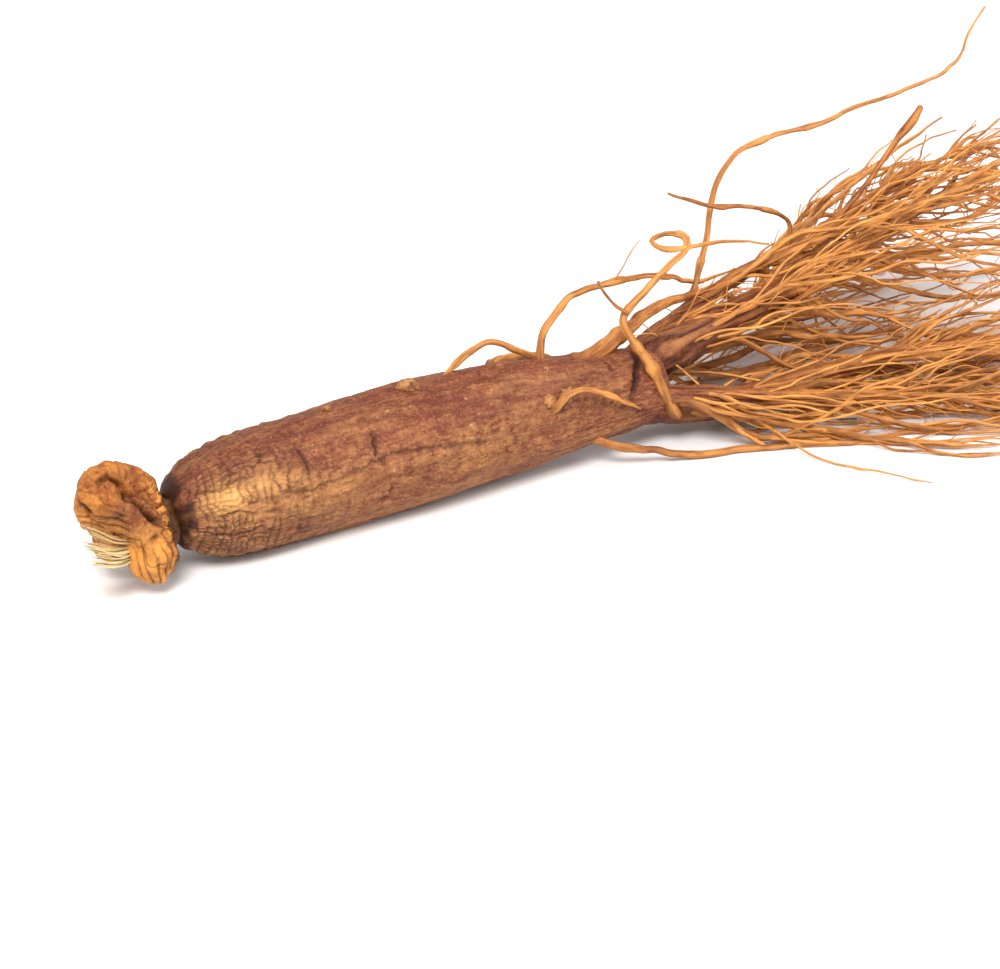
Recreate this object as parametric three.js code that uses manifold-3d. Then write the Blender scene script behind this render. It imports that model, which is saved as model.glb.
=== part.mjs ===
// A dried red ginseng root lying on its side, grown as one piece: the knobbly rhizome with its torn
// stem fibres, the stout main root with ring furrows on its shoulder, five tail roots and their whisk
// of rootlets. Millimetres. +X runs from the rhizome to the tail, +Z is up, and the origin is in the
// flat spot under the belly that the root rests on.
import * as THREE from "three";
import { mergeVertices } from "three/addons/utils/BufferGeometryUtils.js";
import Module from "manifold-3d";

const wasm = await Module();
wasm.setup();

// Main root
const shoulderX = -38;
const axisHeight = 9.6;
const bodySides = 28;
const bodyRings = 36;
// distance from the shoulder, radius
const bodyProfile = [
  [0, 0],
  [0.7, 3.5],
  [2.6, 6],
  [7, 8.2],
  [14, 9.4],
  [27, 9.8],
  [42, 10.25],
  [54, 9.5],
  [66, 8.5],
  [77, 7.1],
  [85, 6.6],
  [87.8, 6],
  [89.3, 4.1],
  [89.8, 0],
];

// Relief of the main root, all depths in millimetres
const lobeDepth = 0.42;
const ridgeDepth = 0.16;
const ringDepth = 0.2;
const ringSpacing = 2.6;
const ringReach = 24;
// cracks across the skin: distance from the shoulder, middle angle, half span of the angle, depth
const cracks = [
  [11, 2.1, 0.3, 0.45],
  [16.8, 2.44, 0.34, 0.5],
  [29.4, 2.42, 0.36, 0.55],
  [26, -0.7, 0.6, 0.5],
  [47, 0.4, 0.45, 0.5],
];
const crackWidth = 0.9;
// broken-off rootlets: distance from the shoulder, angle, radius, height
const stubs = [
  [41, 1.64, 1.5, 1.3],
  [28, 1.75, 0.9, 0.7],
  [56, 1.6, 0.8, 1],
  [36, -0.3, 1.1, 0.8],
  [62, 0.5, 1.2, 0.8],
  [68, 2.55, 1.4, 0.7],
  [22, 0.3, 1, 0.7],
];

// Rhizome: lobes as centre, half sizes and turn about X, Y and Z in degrees
const headCentre = [-42.6, -2.2, 9.2];
const headDetail = 5;
const headBlend = 1.1;
const headLobes = [
  { at: [-38.6, -0.6, 8.8], half: [3.6, 4.6, 4.6], turn: [0, 0, 0] },
  { at: [-46, -0.6, 14.6], half: [6.3, 3.5, 5.7], turn: [0, 24, 10] },
  { at: [-43.4, -4.6, 10.4], half: [5.4, 2.6, 3], turn: [0, 42, 8] },
  { at: [-42.7, -5.7, 5.9], half: [3.4, 3.5, 4.1], turn: [0, -6, 0] },
  { at: [-41.6, 3.2, 8.2], half: [3.9, 3.8, 5], turn: [20, 0, 0] },
  { at: [-45.2, 1.8, 6.4], half: [3.4, 3.2, 3.4], turn: [0, 0, 0] },
];
const headRibDepth = 0.3;

// Torn stem fibres: where they spring from, where they fan to
const fibreRoot = [-45.6, -5.2, 8.4];
const fibreTips = [
  [-53, -5.8, 13.6],
  [-53, -6.3, 12.4],
  [-53.2, -6.8, 11.4],
  [-53.3, -7.2, 10.5],
  [-53.4, -7.5, 9.7],
  [-53.2, -7.8, 9],
  [-52.6, -8, 8.1],
];
const fibreRadius = 0.5;

// Tail roots: points along the middle and the radius at each end
const tails = [
  {
    points: [
      [43, 0, 10.6],
      [50, 0.5, 12.6],
      [58, 1.2, 14.4],
      [69, 2.2, 16.2],
      [83, 3.4, 18.8],
      [100, 5.4, 22.6],
      [118, 8.5, 25.6],
      [137, 12.5, 27.2],
    ],
    radius: [4.4, 0.7],
    rootlets: 13,
  },
  {
    points: [
      [43, -1.5, 8.2],
      [51, -3.2, 6],
      [60, -4.6, 4.8],
      [71, -6, 4.8],
      [84, -8, 6.2],
      [99, -11, 7.4],
      [116, -14.5, 6.6],
      [132, -17.5, 5.2],
    ],
    radius: [3.7, 0.6],
    rootlets: 11,
  },
  {
    points: [
      [43, 2.5, 9.2],
      [52, 6.4, 8],
      [62, 10.6, 7.2],
      [75, 16.4, 7.6],
      [90, 23, 9.6],
      [106, 30, 12.4],
      [121, 37.5, 14.6],
    ],
    radius: [3.6, 0.6],
    rootlets: 11,
  },
  {
    points: [
      [44, 1.4, 12],
      [52, 3, 15.4],
      [62.8, 5.6, 18.4],
      [74.4, 8, 20.8],
      [86.7, 9.6, 23],
      [97.6, 10.6, 25.4],
      [107, 11.4, 28],
      [118, 12, 31.4],
    ],
    radius: [1.9, 0.75],
    rootlets: 8,
  },
  {
    points: [
      [44, -2.6, 9.4],
      [54, -7.6, 8.6],
      [65, -12, 7.4],
      [78, -17.6, 6],
      [93, -24, 4.4],
      [108, -31.5, 3.2],
    ],
    radius: [2.5, 0.6],
    rootlets: 7,
  },
];
const tailSides = 8;
const tailSteps = 12;
const tailTaper = 0.72;

// Rootlets that stand out one by one, then nine that fill the fan out to its furthest tips: points
// along the middle and the radius at each end
const loneRootlets = [
  {
    points: [
      [50.9, -6.2, 5.6], [49, -6.6, 9.6], [46.6, -6.4, 15], [43.8, -5.6, 20.2], [43, -4, 23.4],
      [46.6, -2.6, 25.6], [52.3, -0.8, 28], [56.5, 0.4, 29.8], [58.9, 1.2, 31.2],
      [59.4, 1.9, 32.4], [58.2, 2.5, 33.4], [55, 2.7, 33.9], [52.6, 2, 33.5], [53.6, 1, 32.3],
      [56.6, 0.6, 31.4], [61, 1.2, 31], [67.6, 3, 29.9], [79.5, 6, 26.2],
    ],
    radius: [1, 0.32],
  },
  {
    points: [
      [62.8, 5.6, 18.4], [66.4, 8, 24], [68.6, 9, 28.4], [70.2, 10, 32.8], [71.9, 10.4, 37.7],
      [76.5, 10.6, 42.1], [84.6, 11, 43.5], [93.8, 11.6, 43.5], [104.5, 12.6, 44.9],
      [118.5, 14.4, 45.9], [128.4, 16.4, 47], [132.5, 18, 49], [134.7, 19, 51.8], [139.4, 20, 56],
    ],
    radius: [0.62, 0.32],
  },
  {
    points: [
      [29, 0.6, 15], [29.6, 0.7, 19], [30.5, 1, 22.4], [33, 1.6, 24.7], [36, 2.2, 26.8],
      [40.4, 3, 27.5], [46.3, 4.2, 27.1], [52.5, 5.4, 26.2], [58.9, 6.4, 24.7], [66.6, 8, 21.7],
      [75.8, 10.4, 21.5],
    ],
    radius: [0.85, 0.36],
  },
  {
    points: [
      [29.4, 0.8, 15.6], [28.9, 0.8, 18.8], [24.2, 1, 21.5], [20.4, 1.2, 23.1], [16.4, 1.4, 21.7],
      [12.9, 1.2, 19.9], [10.2, 0.8, 18.2],
    ],
    radius: [0.6, 0.42],
  },
  {
    points: [
      [86.7, 9.6, 23], [87.4, 10, 26.4], [86.2, 10, 28.6], [82.2, 9.6, 30.7], [75.8, 9, 32.7],
      [69.3, 8.2, 34.5], [64.2, 7.4, 36.8], [59.6, 7.2, 39],
    ],
    radius: [0.4, 0.36],
  },
  {
    points: [
      [26.4, -6, 12], [27, -8, 13.4], [28.8, -8.6, 15.3], [31.7, -8.6, 15.6], [36, -8.4, 13.6],
      [40.5, -8, 10.8], [44.1, -6.6, 8.6],
    ],
    radius: [0.5, 0.32],
  },
  {
    points: [
      [22, 6, 13], [26, 9.6, 15.4], [34, 13, 14.2], [44, 18, 9], [54, 24, 3.8], [63, 30, 0.9],
      [72, 36, 0.2], [82, 41, 0.3],
    ],
    radius: [0.8, 0.35],
  },
  {
    points: [
      [34, -4, 5.6], [40, -8.6, 3.2], [50, -12.6, 1.2], [62, -17, 0.4], [74, -23, 0.2],
      [86, -30, 0.3],
    ],
    radius: [0.8, 0.35],
  },
  {
    points: [
      [97.6, 10.6, 25.4], [104.6, 11, 30.4], [109, 11, 34.6], [111.5, 10.8, 37.5], [113, 10.4, 39.5],
      [114.6, 10.2, 41.2], [116, 10, 43.4],
    ],
    radius: [0.5, 0.55],
  },
  {
    points: [
      [99, -11, 7.4], [112, -14, 10.5], [126, -17, 14], [140, -20, 16], [151, -22, 15],
    ],
    radius: [0.6, 0.35],
  },
  {
    points: [
      [100, 5.4, 22.6], [114, 5, 27], [128, 5, 31], [142, 6, 34], [152, 8, 35],
    ],
    radius: [0.6, 0.35],
  },
  {
    points: [
      [90, 4.2, 20.4], [104, 4, 14], [118, 3, 9], [132, 2, 7], [144, 1, 7],
    ],
    radius: [0.6, 0.35],
  },
  {
    points: [
      [86.7, 9.6, 23], [100, 17, 25.4], [114, 23, 27.6], [127, 28, 30], [139, 30, 33],
    ],
    radius: [0.6, 0.35],
  },
  {
    points: [
      [90, 23, 9.6], [104, 31, 14], [115, 36, 18.6], [124, 39, 21.4], [133, 41, 22.6],
    ],
    radius: [0.6, 0.35],
  },
  {
    points: [
      [75, 16.4, 7.6], [92, 19, 11], [110, 21, 16], [128, 22, 19], [144, 23, 19],
    ],
    radius: [0.6, 0.35],
  },
  {
    points: [
      [93, -24, 4.4], [106, -28, 8], [120, -30, 13], [132, -30, 16],
    ],
    radius: [0.55, 0.35],
  },
  {
    points: [
      [75, 16.4, 7.6], [88, 14, 4], [100, 11, 2.6], [112, 10, 2.4], [122, 10, 3],
    ],
    radius: [0.6, 0.35],
  },
  {
    points: [
      [74.4, 8, 20.8], [88, 3, 26], [102, -2, 30], [118, -5, 33], [134, -7, 36],
    ],
    radius: [0.6, 0.35],
  },
];

// Rootlets that the tail roots send out by rule
const randomSeed = 20240611;
const fanFocus = [28, 0, 10];
const rootletRise = 0.3;
const rootletSteps = 7;
const thinSides = 3;
const thickSides = 4;
const thickFrom = 0.8;
const floorGap = 0.25;
const leastRadius = 0.32;

const vec = (p) => new THREE.Vector3(p[0], p[1], p[2]);
const curveThrough = (points) =>
  new THREE.CatmullRomCurve3(points.map(vec), false, "catmullrom", 0.5);

function seededRandom(seed) {
  let state = seed >>> 0;
  return () => {
    state = (state + 0x6d2b79f5) >>> 0;
    let t = Math.imul(state ^ (state >>> 15), state | 1);
    t = (t + Math.imul(t ^ (t >>> 7), t | 61)) ^ t;
    return ((t ^ (t >>> 14)) >>> 0) / 4294967296;
  };
}

function solidFrom(geometry) {
  const bare = geometry.index ? geometry.toNonIndexed() : geometry.clone();
  bare.deleteAttribute("normal");
  bare.deleteAttribute("uv");
  const merged = mergeVertices(bare, 1e-4);
  const index = merged.index.array;
  const kept = [];
  for (let i = 0; i < index.length; i += 3) {
    const [a, b, c] = [index[i], index[i + 1], index[i + 2]];
    if (a !== b && b !== c && c !== a) kept.push(a, b, c);
  }
  return new wasm.Manifold(
    new wasm.Mesh({
      numProp: 3,
      vertProperties: merged.getAttribute("position").array,
      triVerts: new Uint32Array(kept),
    }),
  );
}

function moveVertices(geometry, place) {
  const position = geometry.getAttribute("position");
  const p = new THREE.Vector3();
  for (let i = 0; i < position.count; i++) {
    p.fromBufferAttribute(position, i);
    place(p);
    position.setXYZ(i, p.x, p.y, p.z);
  }
  return geometry;
}

const { smoothstep, degToRad } = THREE.MathUtils;

// Height of the skin above the plain profile, at a distance from the shoulder and an angle round the
// axis. The angle is 0 on the far side, PI / 2 on top and PI on the near side.
function bodyRelief(along, angle) {
  const ends = smoothstep(along, 1, 9) * (1 - smoothstep(along, 80, 88));
  const broad = Math.sin(2 * angle + 0.06 * along + 0.6);
  const narrow = Math.sin(3 * angle - 0.09 * along + 2.1);
  const lobes = 0.6 * broad + 0.4 * narrow;
  const twist = 1.4 * Math.sin(0.11 * along);
  const ridges = Math.sin(9 * angle + twist) * Math.sin(0.21 * along + 2 * angle);
  const ringFade = smoothstep(along, 0.5, 4) * (1 - smoothstep(along, 0.35 * ringReach, ringReach));
  const rings = Math.cos((2 * Math.PI * (along + 0.5 * Math.sin(2 * angle))) / ringSpacing);
  let height = ends * (lobeDepth * lobes + ridgeDepth * ridges) + ringDepth * rings * ringFade;
  for (const [at, middle, halfSpan, depth] of cracks) {
    const turn = Math.abs(Math.atan2(Math.sin(angle - middle), Math.cos(angle - middle)));
    const across = Math.exp(-(((along - at) / crackWidth) ** 2));
    height -= depth * across * (1 - smoothstep(turn, 0.6 * halfSpan, 1.3 * halfSpan));
  }
  return height;
}

// A point of the main root. Its axis wanders a little from straight.
function fromAxis(along, angle, radius) {
  const middleY = 0.7 * Math.sin(0.045 * along);
  const middleZ = axisHeight + 0.45 * Math.sin(0.052 * along - 1.9) - 0.1;
  return new THREE.Vector3(
    shoulderX + along,
    middleY + radius * Math.cos(angle),
    middleZ + radius * Math.sin(angle),
  );
}

function bodySolid() {
  const lengthwise = new THREE.SplineCurve(bodyProfile.map(([x, r]) => new THREE.Vector2(r, x)));
  const profile = lengthwise.getPoints(bodyRings);
  profile[0].x = 0;
  profile[bodyRings].x = 0;
  const lathe = new THREE.LatheGeometry(profile, bodySides);
  return solidFrom(
    moveVertices(lathe, (p) => {
      const along = p.y;
      const radius = Math.hypot(p.x, p.z);
      const angle = Math.atan2(p.x, p.z);
      const raised = radius > 1e-6 ? radius + bodyRelief(along, angle) * Math.min(1, radius / 4) : 0;
      p.copy(fromAxis(along, angle, raised));
    }),
  );
}

function skinPoint(along, angle, lift) {
  const radii = new THREE.SplineCurve(bodyProfile.map(([x, r]) => new THREE.Vector2(r, x)));
  let low = 0;
  let high = 1;
  for (let i = 0; i < 24; i++) {
    const middle = (low + high) / 2;
    if (radii.getPoint(middle).y < along) low = middle;
    else high = middle;
  }
  return fromAxis(along, angle, radii.getPoint(low).x + bodyRelief(along, angle) + lift);
}

function stubSolid([along, angle, radius, height]) {
  const knob = new THREE.CylinderGeometry(radius * 0.8, radius * 1.25, height + 2, 6, 1);
  const foot = skinPoint(along, angle, -2);
  const top = skinPoint(along, angle, height);
  const outward = top.clone().sub(foot).normalize();
  const turn = new THREE.Quaternion().setFromUnitVectors(new THREE.Vector3(0, 1, 0), outward);
  const middle = foot.clone().add(top).multiplyScalar(0.5);
  return solidFrom(moveVertices(knob, (p) => p.applyQuaternion(turn).add(middle)));
}

const lobeFrames = headLobes.map(({ at, half, turn }) => ({
  at: vec(at),
  half: vec(half),
  back: new THREE.Quaternion()
    .setFromEuler(new THREE.Euler(...turn.map(degToRad)))
    .invert(),
}));

// Rough signed distance to the rhizome: ellipsoids melted together
function headDistance(point) {
  let sum = 0;
  for (const { at, half, back } of lobeFrames) {
    const local = point.clone().sub(at).applyQuaternion(back).divide(half);
    const least = Math.min(half.x, half.y, half.z);
    sum += Math.exp((-(local.length() - 1) * least) / headBlend);
  }
  return -headBlend * Math.log(sum);
}

function headSolid() {
  const centre = vec(headCentre);
  const ball = new THREE.IcosahedronGeometry(1, headDetail);
  return solidFrom(
    moveVertices(ball, (p) => {
      const direction = p.clone().normalize();
      let reach = 14;
      const outside = () => headDistance(centre.clone().addScaledVector(direction, reach)) > 0;
      while (reach > 1 && outside()) reach -= 0.05;
      const ribs = Math.sin(9 * Math.atan2(direction.y, direction.x) + 3 * direction.z);
      reach += headRibDepth * ribs * (1 - direction.z * direction.z);
      p.copy(centre).addScaledVector(direction, reach);
    }),
  );
}

const taperedRadius = ([first, last], taper, share) =>
  last + (first - last) * (1 - share) ** (1 / taper);

// A closed tapered tube along a curve. The radius falls from the first value to the second.
function taperedTube(curve, radius, taper, sides, steps) {
  const tube = new THREE.CylinderGeometry(1, 1, 1, sides, steps);
  const frames = curve.computeFrenetFrames(steps, false);
  return solidFrom(
    moveVertices(tube, (p) => {
      const step = Math.round((0.5 - p.y) * steps);
      const share = step / steps;
      const thick = Math.max(leastRadius, taperedRadius(radius, taper, share));
      const middle = curve.getPointAt(share);
      const side = frames.normals[step].clone().multiplyScalar(p.x * thick);
      side.addScaledVector(frames.binormals[step], p.z * thick);
      p.copy(middle).add(side);
    }),
  );
}

// The rule that places the rootlets of one tail root: where each leaves it and the way it runs
function rootletsOf(tail, draw) {
  const curve = curveThrough(tail.points);
  const focus = vec(fanFocus);
  const made = [];
  for (let i = 0; i < tail.rootlets; i++) {
    const share = 0.14 + (0.8 * (i + draw())) / tail.rootlets;
    const foot = curve.getPoint(share);
    const ahead = curve.getTangent(share);
    const round = 2.4 * (i + 1) + 1.2 * draw();
    const lift = Math.sin(round);
    const outward = new THREE.Vector3(0, Math.cos(round), lift > 0 ? rootletRise * lift : lift);
    const heading = ahead.clone().addScaledVector(outward, 0.45 + 0.5 * draw()).normalize();
    const thick = Math.min(0.5 * taperedRadius(tail.radius, tailTaper, share), 0.5 + 0.55 * draw());
    const stride = (7 + 6.5 * draw()) * (1.25 - 0.5 * share);
    const points = [curve.getPoint(share - 0.03).toArray()];
    const place = foot.clone();
    for (let k = 0; k < 5; k++) {
      place.addScaledVector(heading, stride * (k === 0 ? 0.6 : 1));
      place.z = Math.max(place.z, thick + floorGap + 0.4);
      points.push(place.toArray());
      const spread = place.clone().sub(focus).normalize();
      heading.lerp(spread, 0.42);
      heading.x += 0.5 * (draw() - 0.5);
      heading.y += 0.75 * (draw() - 0.5);
      heading.z += 0.7 * (draw() - 0.56);
      heading.normalize();
    }
    made.push({ points, radius: [thick, leastRadius] });
  }
  return made;
}

function fibreSolid(tip, index) {
  const foot = vec(fibreRoot).add(new THREE.Vector3(0, 0, 1.6 - 0.6 * index));
  const middle = foot.clone().lerp(vec(tip), 0.55).add(new THREE.Vector3(0, -0.5, 0.3));
  const points = [foot.toArray(), middle.toArray(), tip];
  return taperedTube(curveThrough(points), [fibreRadius, leastRadius], 1, thickSides, 3);
}

function tailSolid(tail) {
  return taperedTube(curveThrough(tail.points), tail.radius, tailTaper, tailSides, tailSteps);
}

function rootletSolid({ points, radius }) {
  const sides = radius[0] > thickFrom ? thickSides : thinSides;
  const steps = Math.max(rootletSteps, Math.round(1.7 * points.length));
  return taperedTube(curveThrough(points), radius, 1, sides, steps);
}

// Everything below the surface it lies on is cut away. That leaves the flat spot under the belly and
// those of the two low rootlets, so the root rests on three places.
function aboveFloor(solid) {
  const slab = new THREE.BoxGeometry(400, 400, 40);
  slab.translate(0, 0, -20);
  return solid.subtract(solidFrom(slab));
}

function largestBody(solid) {
  return solid.decompose().sort((a, b) => b.volume() - a.volume())[0];
}

function geometryOf(solid) {
  const mesh = solid.getMesh();
  const positions = new Float32Array(mesh.numVert * 3);
  for (let i = 0; i < mesh.numVert; i++)
    positions.set(mesh.vertProperties.subarray(i * mesh.numProp, i * mesh.numProp + 3), i * 3);
  const geometry = new THREE.BufferGeometry();
  geometry.setAttribute("position", new THREE.BufferAttribute(positions, 3));
  geometry.setIndex(new THREE.BufferAttribute(mesh.triVerts, 1));
  geometry.computeVertexNormals();
  return geometry;
}

const draw = seededRandom(randomSeed);
const rootlets = tails.flatMap((tail) => rootletsOf(tail, draw));
const pieces = [
  bodySolid(),
  headSolid(),
  ...stubs.map(stubSolid),
  ...fibreTips.map(fibreSolid),
  ...tails.map(tailSolid),
  ...loneRootlets.map(rootletSolid),
  ...rootlets.map(rootletSolid),
];
const grown = largestBody(aboveFloor(wasm.Manifold.union(pieces)));

const skin = new THREE.MeshStandardMaterial({ color: 0xad6a45, roughness: 0.72, metalness: 0 });
const rootMesh = new THREE.Mesh(geometryOf(grown), skin);
rootMesh.name = "ginseng_root";

const ginseng = new THREE.Group();
ginseng.add(rootMesh);
export default ginseng;
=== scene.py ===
import math

import bpy
import numpy as np
from mathutils import Euler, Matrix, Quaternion, Vector


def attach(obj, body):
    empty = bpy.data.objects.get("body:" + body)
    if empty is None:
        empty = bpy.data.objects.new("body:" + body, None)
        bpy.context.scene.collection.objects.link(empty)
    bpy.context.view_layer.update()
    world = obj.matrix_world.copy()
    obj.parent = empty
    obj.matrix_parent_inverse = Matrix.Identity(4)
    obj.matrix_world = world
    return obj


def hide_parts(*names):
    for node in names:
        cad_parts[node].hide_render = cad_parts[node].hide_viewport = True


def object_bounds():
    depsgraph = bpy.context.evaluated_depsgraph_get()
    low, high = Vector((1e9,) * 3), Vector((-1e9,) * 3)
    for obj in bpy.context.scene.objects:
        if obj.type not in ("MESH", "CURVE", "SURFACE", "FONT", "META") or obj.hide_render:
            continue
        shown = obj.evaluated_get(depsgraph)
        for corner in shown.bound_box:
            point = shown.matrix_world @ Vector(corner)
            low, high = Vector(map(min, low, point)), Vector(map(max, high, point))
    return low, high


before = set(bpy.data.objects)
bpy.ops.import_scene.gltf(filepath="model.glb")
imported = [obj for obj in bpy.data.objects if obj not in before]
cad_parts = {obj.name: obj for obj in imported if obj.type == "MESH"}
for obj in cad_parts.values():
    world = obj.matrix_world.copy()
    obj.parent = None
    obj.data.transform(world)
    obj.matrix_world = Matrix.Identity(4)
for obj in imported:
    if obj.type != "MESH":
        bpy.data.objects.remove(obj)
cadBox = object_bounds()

# A dried red ginseng root. Lengths below are in millimetres and angles round the main root run
# from the far side (0) over the top (pi / 2) to the near side (pi).

mm = 0.001
bpy.context.scene.view_settings.view_transform = "Standard"

# Numbers that look random, but come out the same each time

def seededRandom(seed):
    state = [seed & 0xFFFFFFFF]

    def draw():
        state[0] = (state[0] + 0x6D2B79F5) & 0xFFFFFFFF
        s = state[0]
        t = ((s ^ (s >> 15)) * (s | 1)) & 0xFFFFFFFF
        t = (t + ((t ^ (t >> 7)) * (t | 61) & 0xFFFFFFFF)) & 0xFFFFFFFF ^ t
        return (t ^ (t >> 14)) / 4294967296

    return draw


def cornerValue(i, j, k, seed):
    h = (i * 73856093) ^ (j * 19349663) ^ (k * 83492791) ^ (seed * 40503 + 977)
    h = h & 0xFFFFFFFF
    h = ((h ^ (h >> 15)) * 224682251) & 0xFFFFFFFF
    h = ((h ^ (h >> 13)) * 326648991) & 0xFFFFFFFF
    return (h ^ (h >> 16)) / 2147483648.0 - 1.0


def noise(x, y, z, seed):
    x, y, z = np.broadcast_arrays(np.asarray(x, float), y, z)
    i, j, k = (np.floor(v).astype(np.int64) for v in (x, y, z))
    fx, fy, fz = (v - np.floor(v) for v in (x, y, z))
    fx, fy, fz = (v * v * v * (v * (v * 6 - 15) + 10) for v in (fx, fy, fz))
    total = 0.0
    for a in (0, 1):
        for b in (0, 1):
            for c in (0, 1):
                weight = (fx if a else 1 - fx) * (fy if b else 1 - fy) * (fz if c else 1 - fz)
                total = total + weight * cornerValue(i + a, j + b, k + c, seed)
    return total


def layered(x, y, z, seed, layers=3):
    total, size, part = 0.0, 1.0, 1.0
    for n in range(layers):
        total = total + part * noise(x * size, y * size, z * size, seed + 17 * n)
        size, part = size * 2.03, part * 0.5
    return total


# Sharp furrows where the noise passes through zero
def ridged(power, x, y, z, seed):
    return (1 - np.abs(noise(x, y, z, seed))) ** power


def smoothstep(x, low, high):
    t = np.clip((np.asarray(x, float) - low) / (high - low), 0, 1)
    return t * t * (3 - 2 * t)


# Meshes

def newBundle():
    return {"points": [], "quads": [], "tris": [], "place": [], "crease": [], "crest": [], "tone": [],
            "ruddyAndShade": [], "count": 0}


def addPart(bundle, points, quads, tris, place, crease, crest, tone, ruddyAndShade):
    n = len(points)
    bundle["points"].append(points)
    bundle["quads"].append(np.asarray(quads, np.int64).reshape(-1, 4) + bundle["count"])
    bundle["tris"].append(np.asarray(tris, np.int64).reshape(-1, 3) + bundle["count"])
    bundle["place"].append(place)
    for key, value in (("crease", crease), ("crest", crest), ("tone", tone), ("ruddyAndShade", ruddyAndShade)):
        bundle[key].append(np.broadcast_to(np.asarray(value, float), (n,)).copy())
    bundle["count"] += n


def linked(name, data):
    thing = bpy.data.objects.new(name, data)
    bpy.context.scene.collection.objects.link(thing)
    return thing


def makePiece(name, bundle, material):
    points = np.concatenate(bundle["points"]) * mm
    quads = np.concatenate(bundle["quads"])
    tris = np.concatenate(bundle["tris"])
    mesh = bpy.data.meshes.new(name)
    mesh.vertices.add(len(points))
    mesh.vertices.foreach_set("co", points.astype(np.float32).ravel())
    mesh.loops.add(4 * len(quads) + 3 * len(tris))
    mesh.loops.foreach_set("vertex_index", np.concatenate([quads.ravel(), tris.ravel()]).astype(np.int32))
    mesh.polygons.add(len(quads) + len(tris))
    starts = np.concatenate([4 * np.arange(len(quads)), 4 * len(quads) + 3 * np.arange(len(tris))])
    mesh.polygons.foreach_set("loop_start", starts.astype(np.int32))
    mesh.polygons.foreach_set("use_smooth", np.ones(len(starts), bool))
    mesh.update(calc_edges=True)
    mesh.validate()
    place = mesh.attributes.new("grainPlace", "FLOAT_VECTOR", "POINT")
    place.data.foreach_set("vector", np.concatenate(bundle["place"]).astype(np.float32).ravel())
    for key in ("crease", "crest", "tone", "ruddyAndShade"):
        attribute = mesh.attributes.new(key, "FLOAT", "POINT")
        attribute.data.foreach_set("value", np.clip(np.concatenate(bundle[key]), 0, 1).astype(np.float32))
    mesh.materials.append(material)
    piece = linked(name, mesh)
    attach(piece, "root")
    print(name, len(quads) * 2 + len(tris), "triangles")
    return piece


def ringFaces(rings, sides):
    ring, side = np.meshgrid(np.arange(rings - 1), np.arange(sides), indexing="ij")
    ring, side = ring.ravel(), side.ravel()
    following = (side + 1) % sides
    low, high = ring * sides, (ring + 1) * sides
    return np.stack([low + side, low + following, high + following, high + side], 1)


def capFaces(rings, sides, firstPole, lastPole):
    side = np.arange(sides)
    following = (side + 1) % sides
    start = np.stack([np.full(sides, firstPole), following, side], 1)
    last = (rings - 1) * sides
    end = np.stack([np.full(sides, lastPole), last + side, last + following], 1)
    return np.concatenate([start, end])


# Curves

def curvePoint(points, t):
    count = len(points)
    p = (count - 1) * t
    i = min(int(math.floor(p)), count - 2)
    w = p - i
    before = points[i - 1] if i > 0 else 2 * points[0] - points[1]
    after = points[i + 2] if i + 2 < count else 2 * points[-1] - points[-2]
    x1, x2 = points[i], points[i + 1]
    t0, t1 = 0.5 * (x2 - before), 0.5 * (after - x1)
    return x1 + t0 * w + (-3 * x1 + 3 * x2 - 2 * t0 - t1) * w * w + (2 * x1 - 2 * x2 + t0 + t1) * w ** 3


def curveAhead(points, t):
    step = curvePoint(points, min(t + 1e-4, 1)) - curvePoint(points, max(t - 1e-4, 0))
    return step / np.linalg.norm(step)


def evenPath(points, steps):
    points = np.asarray(points, float)
    dense = np.array([curvePoint(points, t) for t in np.linspace(0, 1, 24 * len(points))])
    lengths = np.concatenate([[0], np.cumsum(np.linalg.norm(np.diff(dense, axis=0), axis=1))])
    at = np.linspace(0, lengths[-1], steps + 1)
    return np.stack([np.interp(at, lengths, dense[:, n]) for n in range(3)], 1), at


def sideFrames(path):
    ahead = np.gradient(path, axis=0)
    ahead /= np.linalg.norm(ahead, axis=1)[:, None] + 1e-12
    start = np.cross(ahead[0], (0, 0, 1))
    if np.linalg.norm(start) < 0.1:
        start = np.cross(ahead[0], (0, 1, 0))
    sides = [start / np.linalg.norm(start)]
    for n in range(1, len(path)):
        side = sides[-1] - ahead[n] * (sides[-1] @ ahead[n])
        sides.append(side / (np.linalg.norm(side) + 1e-12))
    sides = np.array(sides)
    return ahead, sides, np.cross(ahead, sides)


def taperedRadius(radius, taper, share):
    return radius[1] + (radius[0] - radius[1]) * (1 - share) ** (1 / taper)


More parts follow.
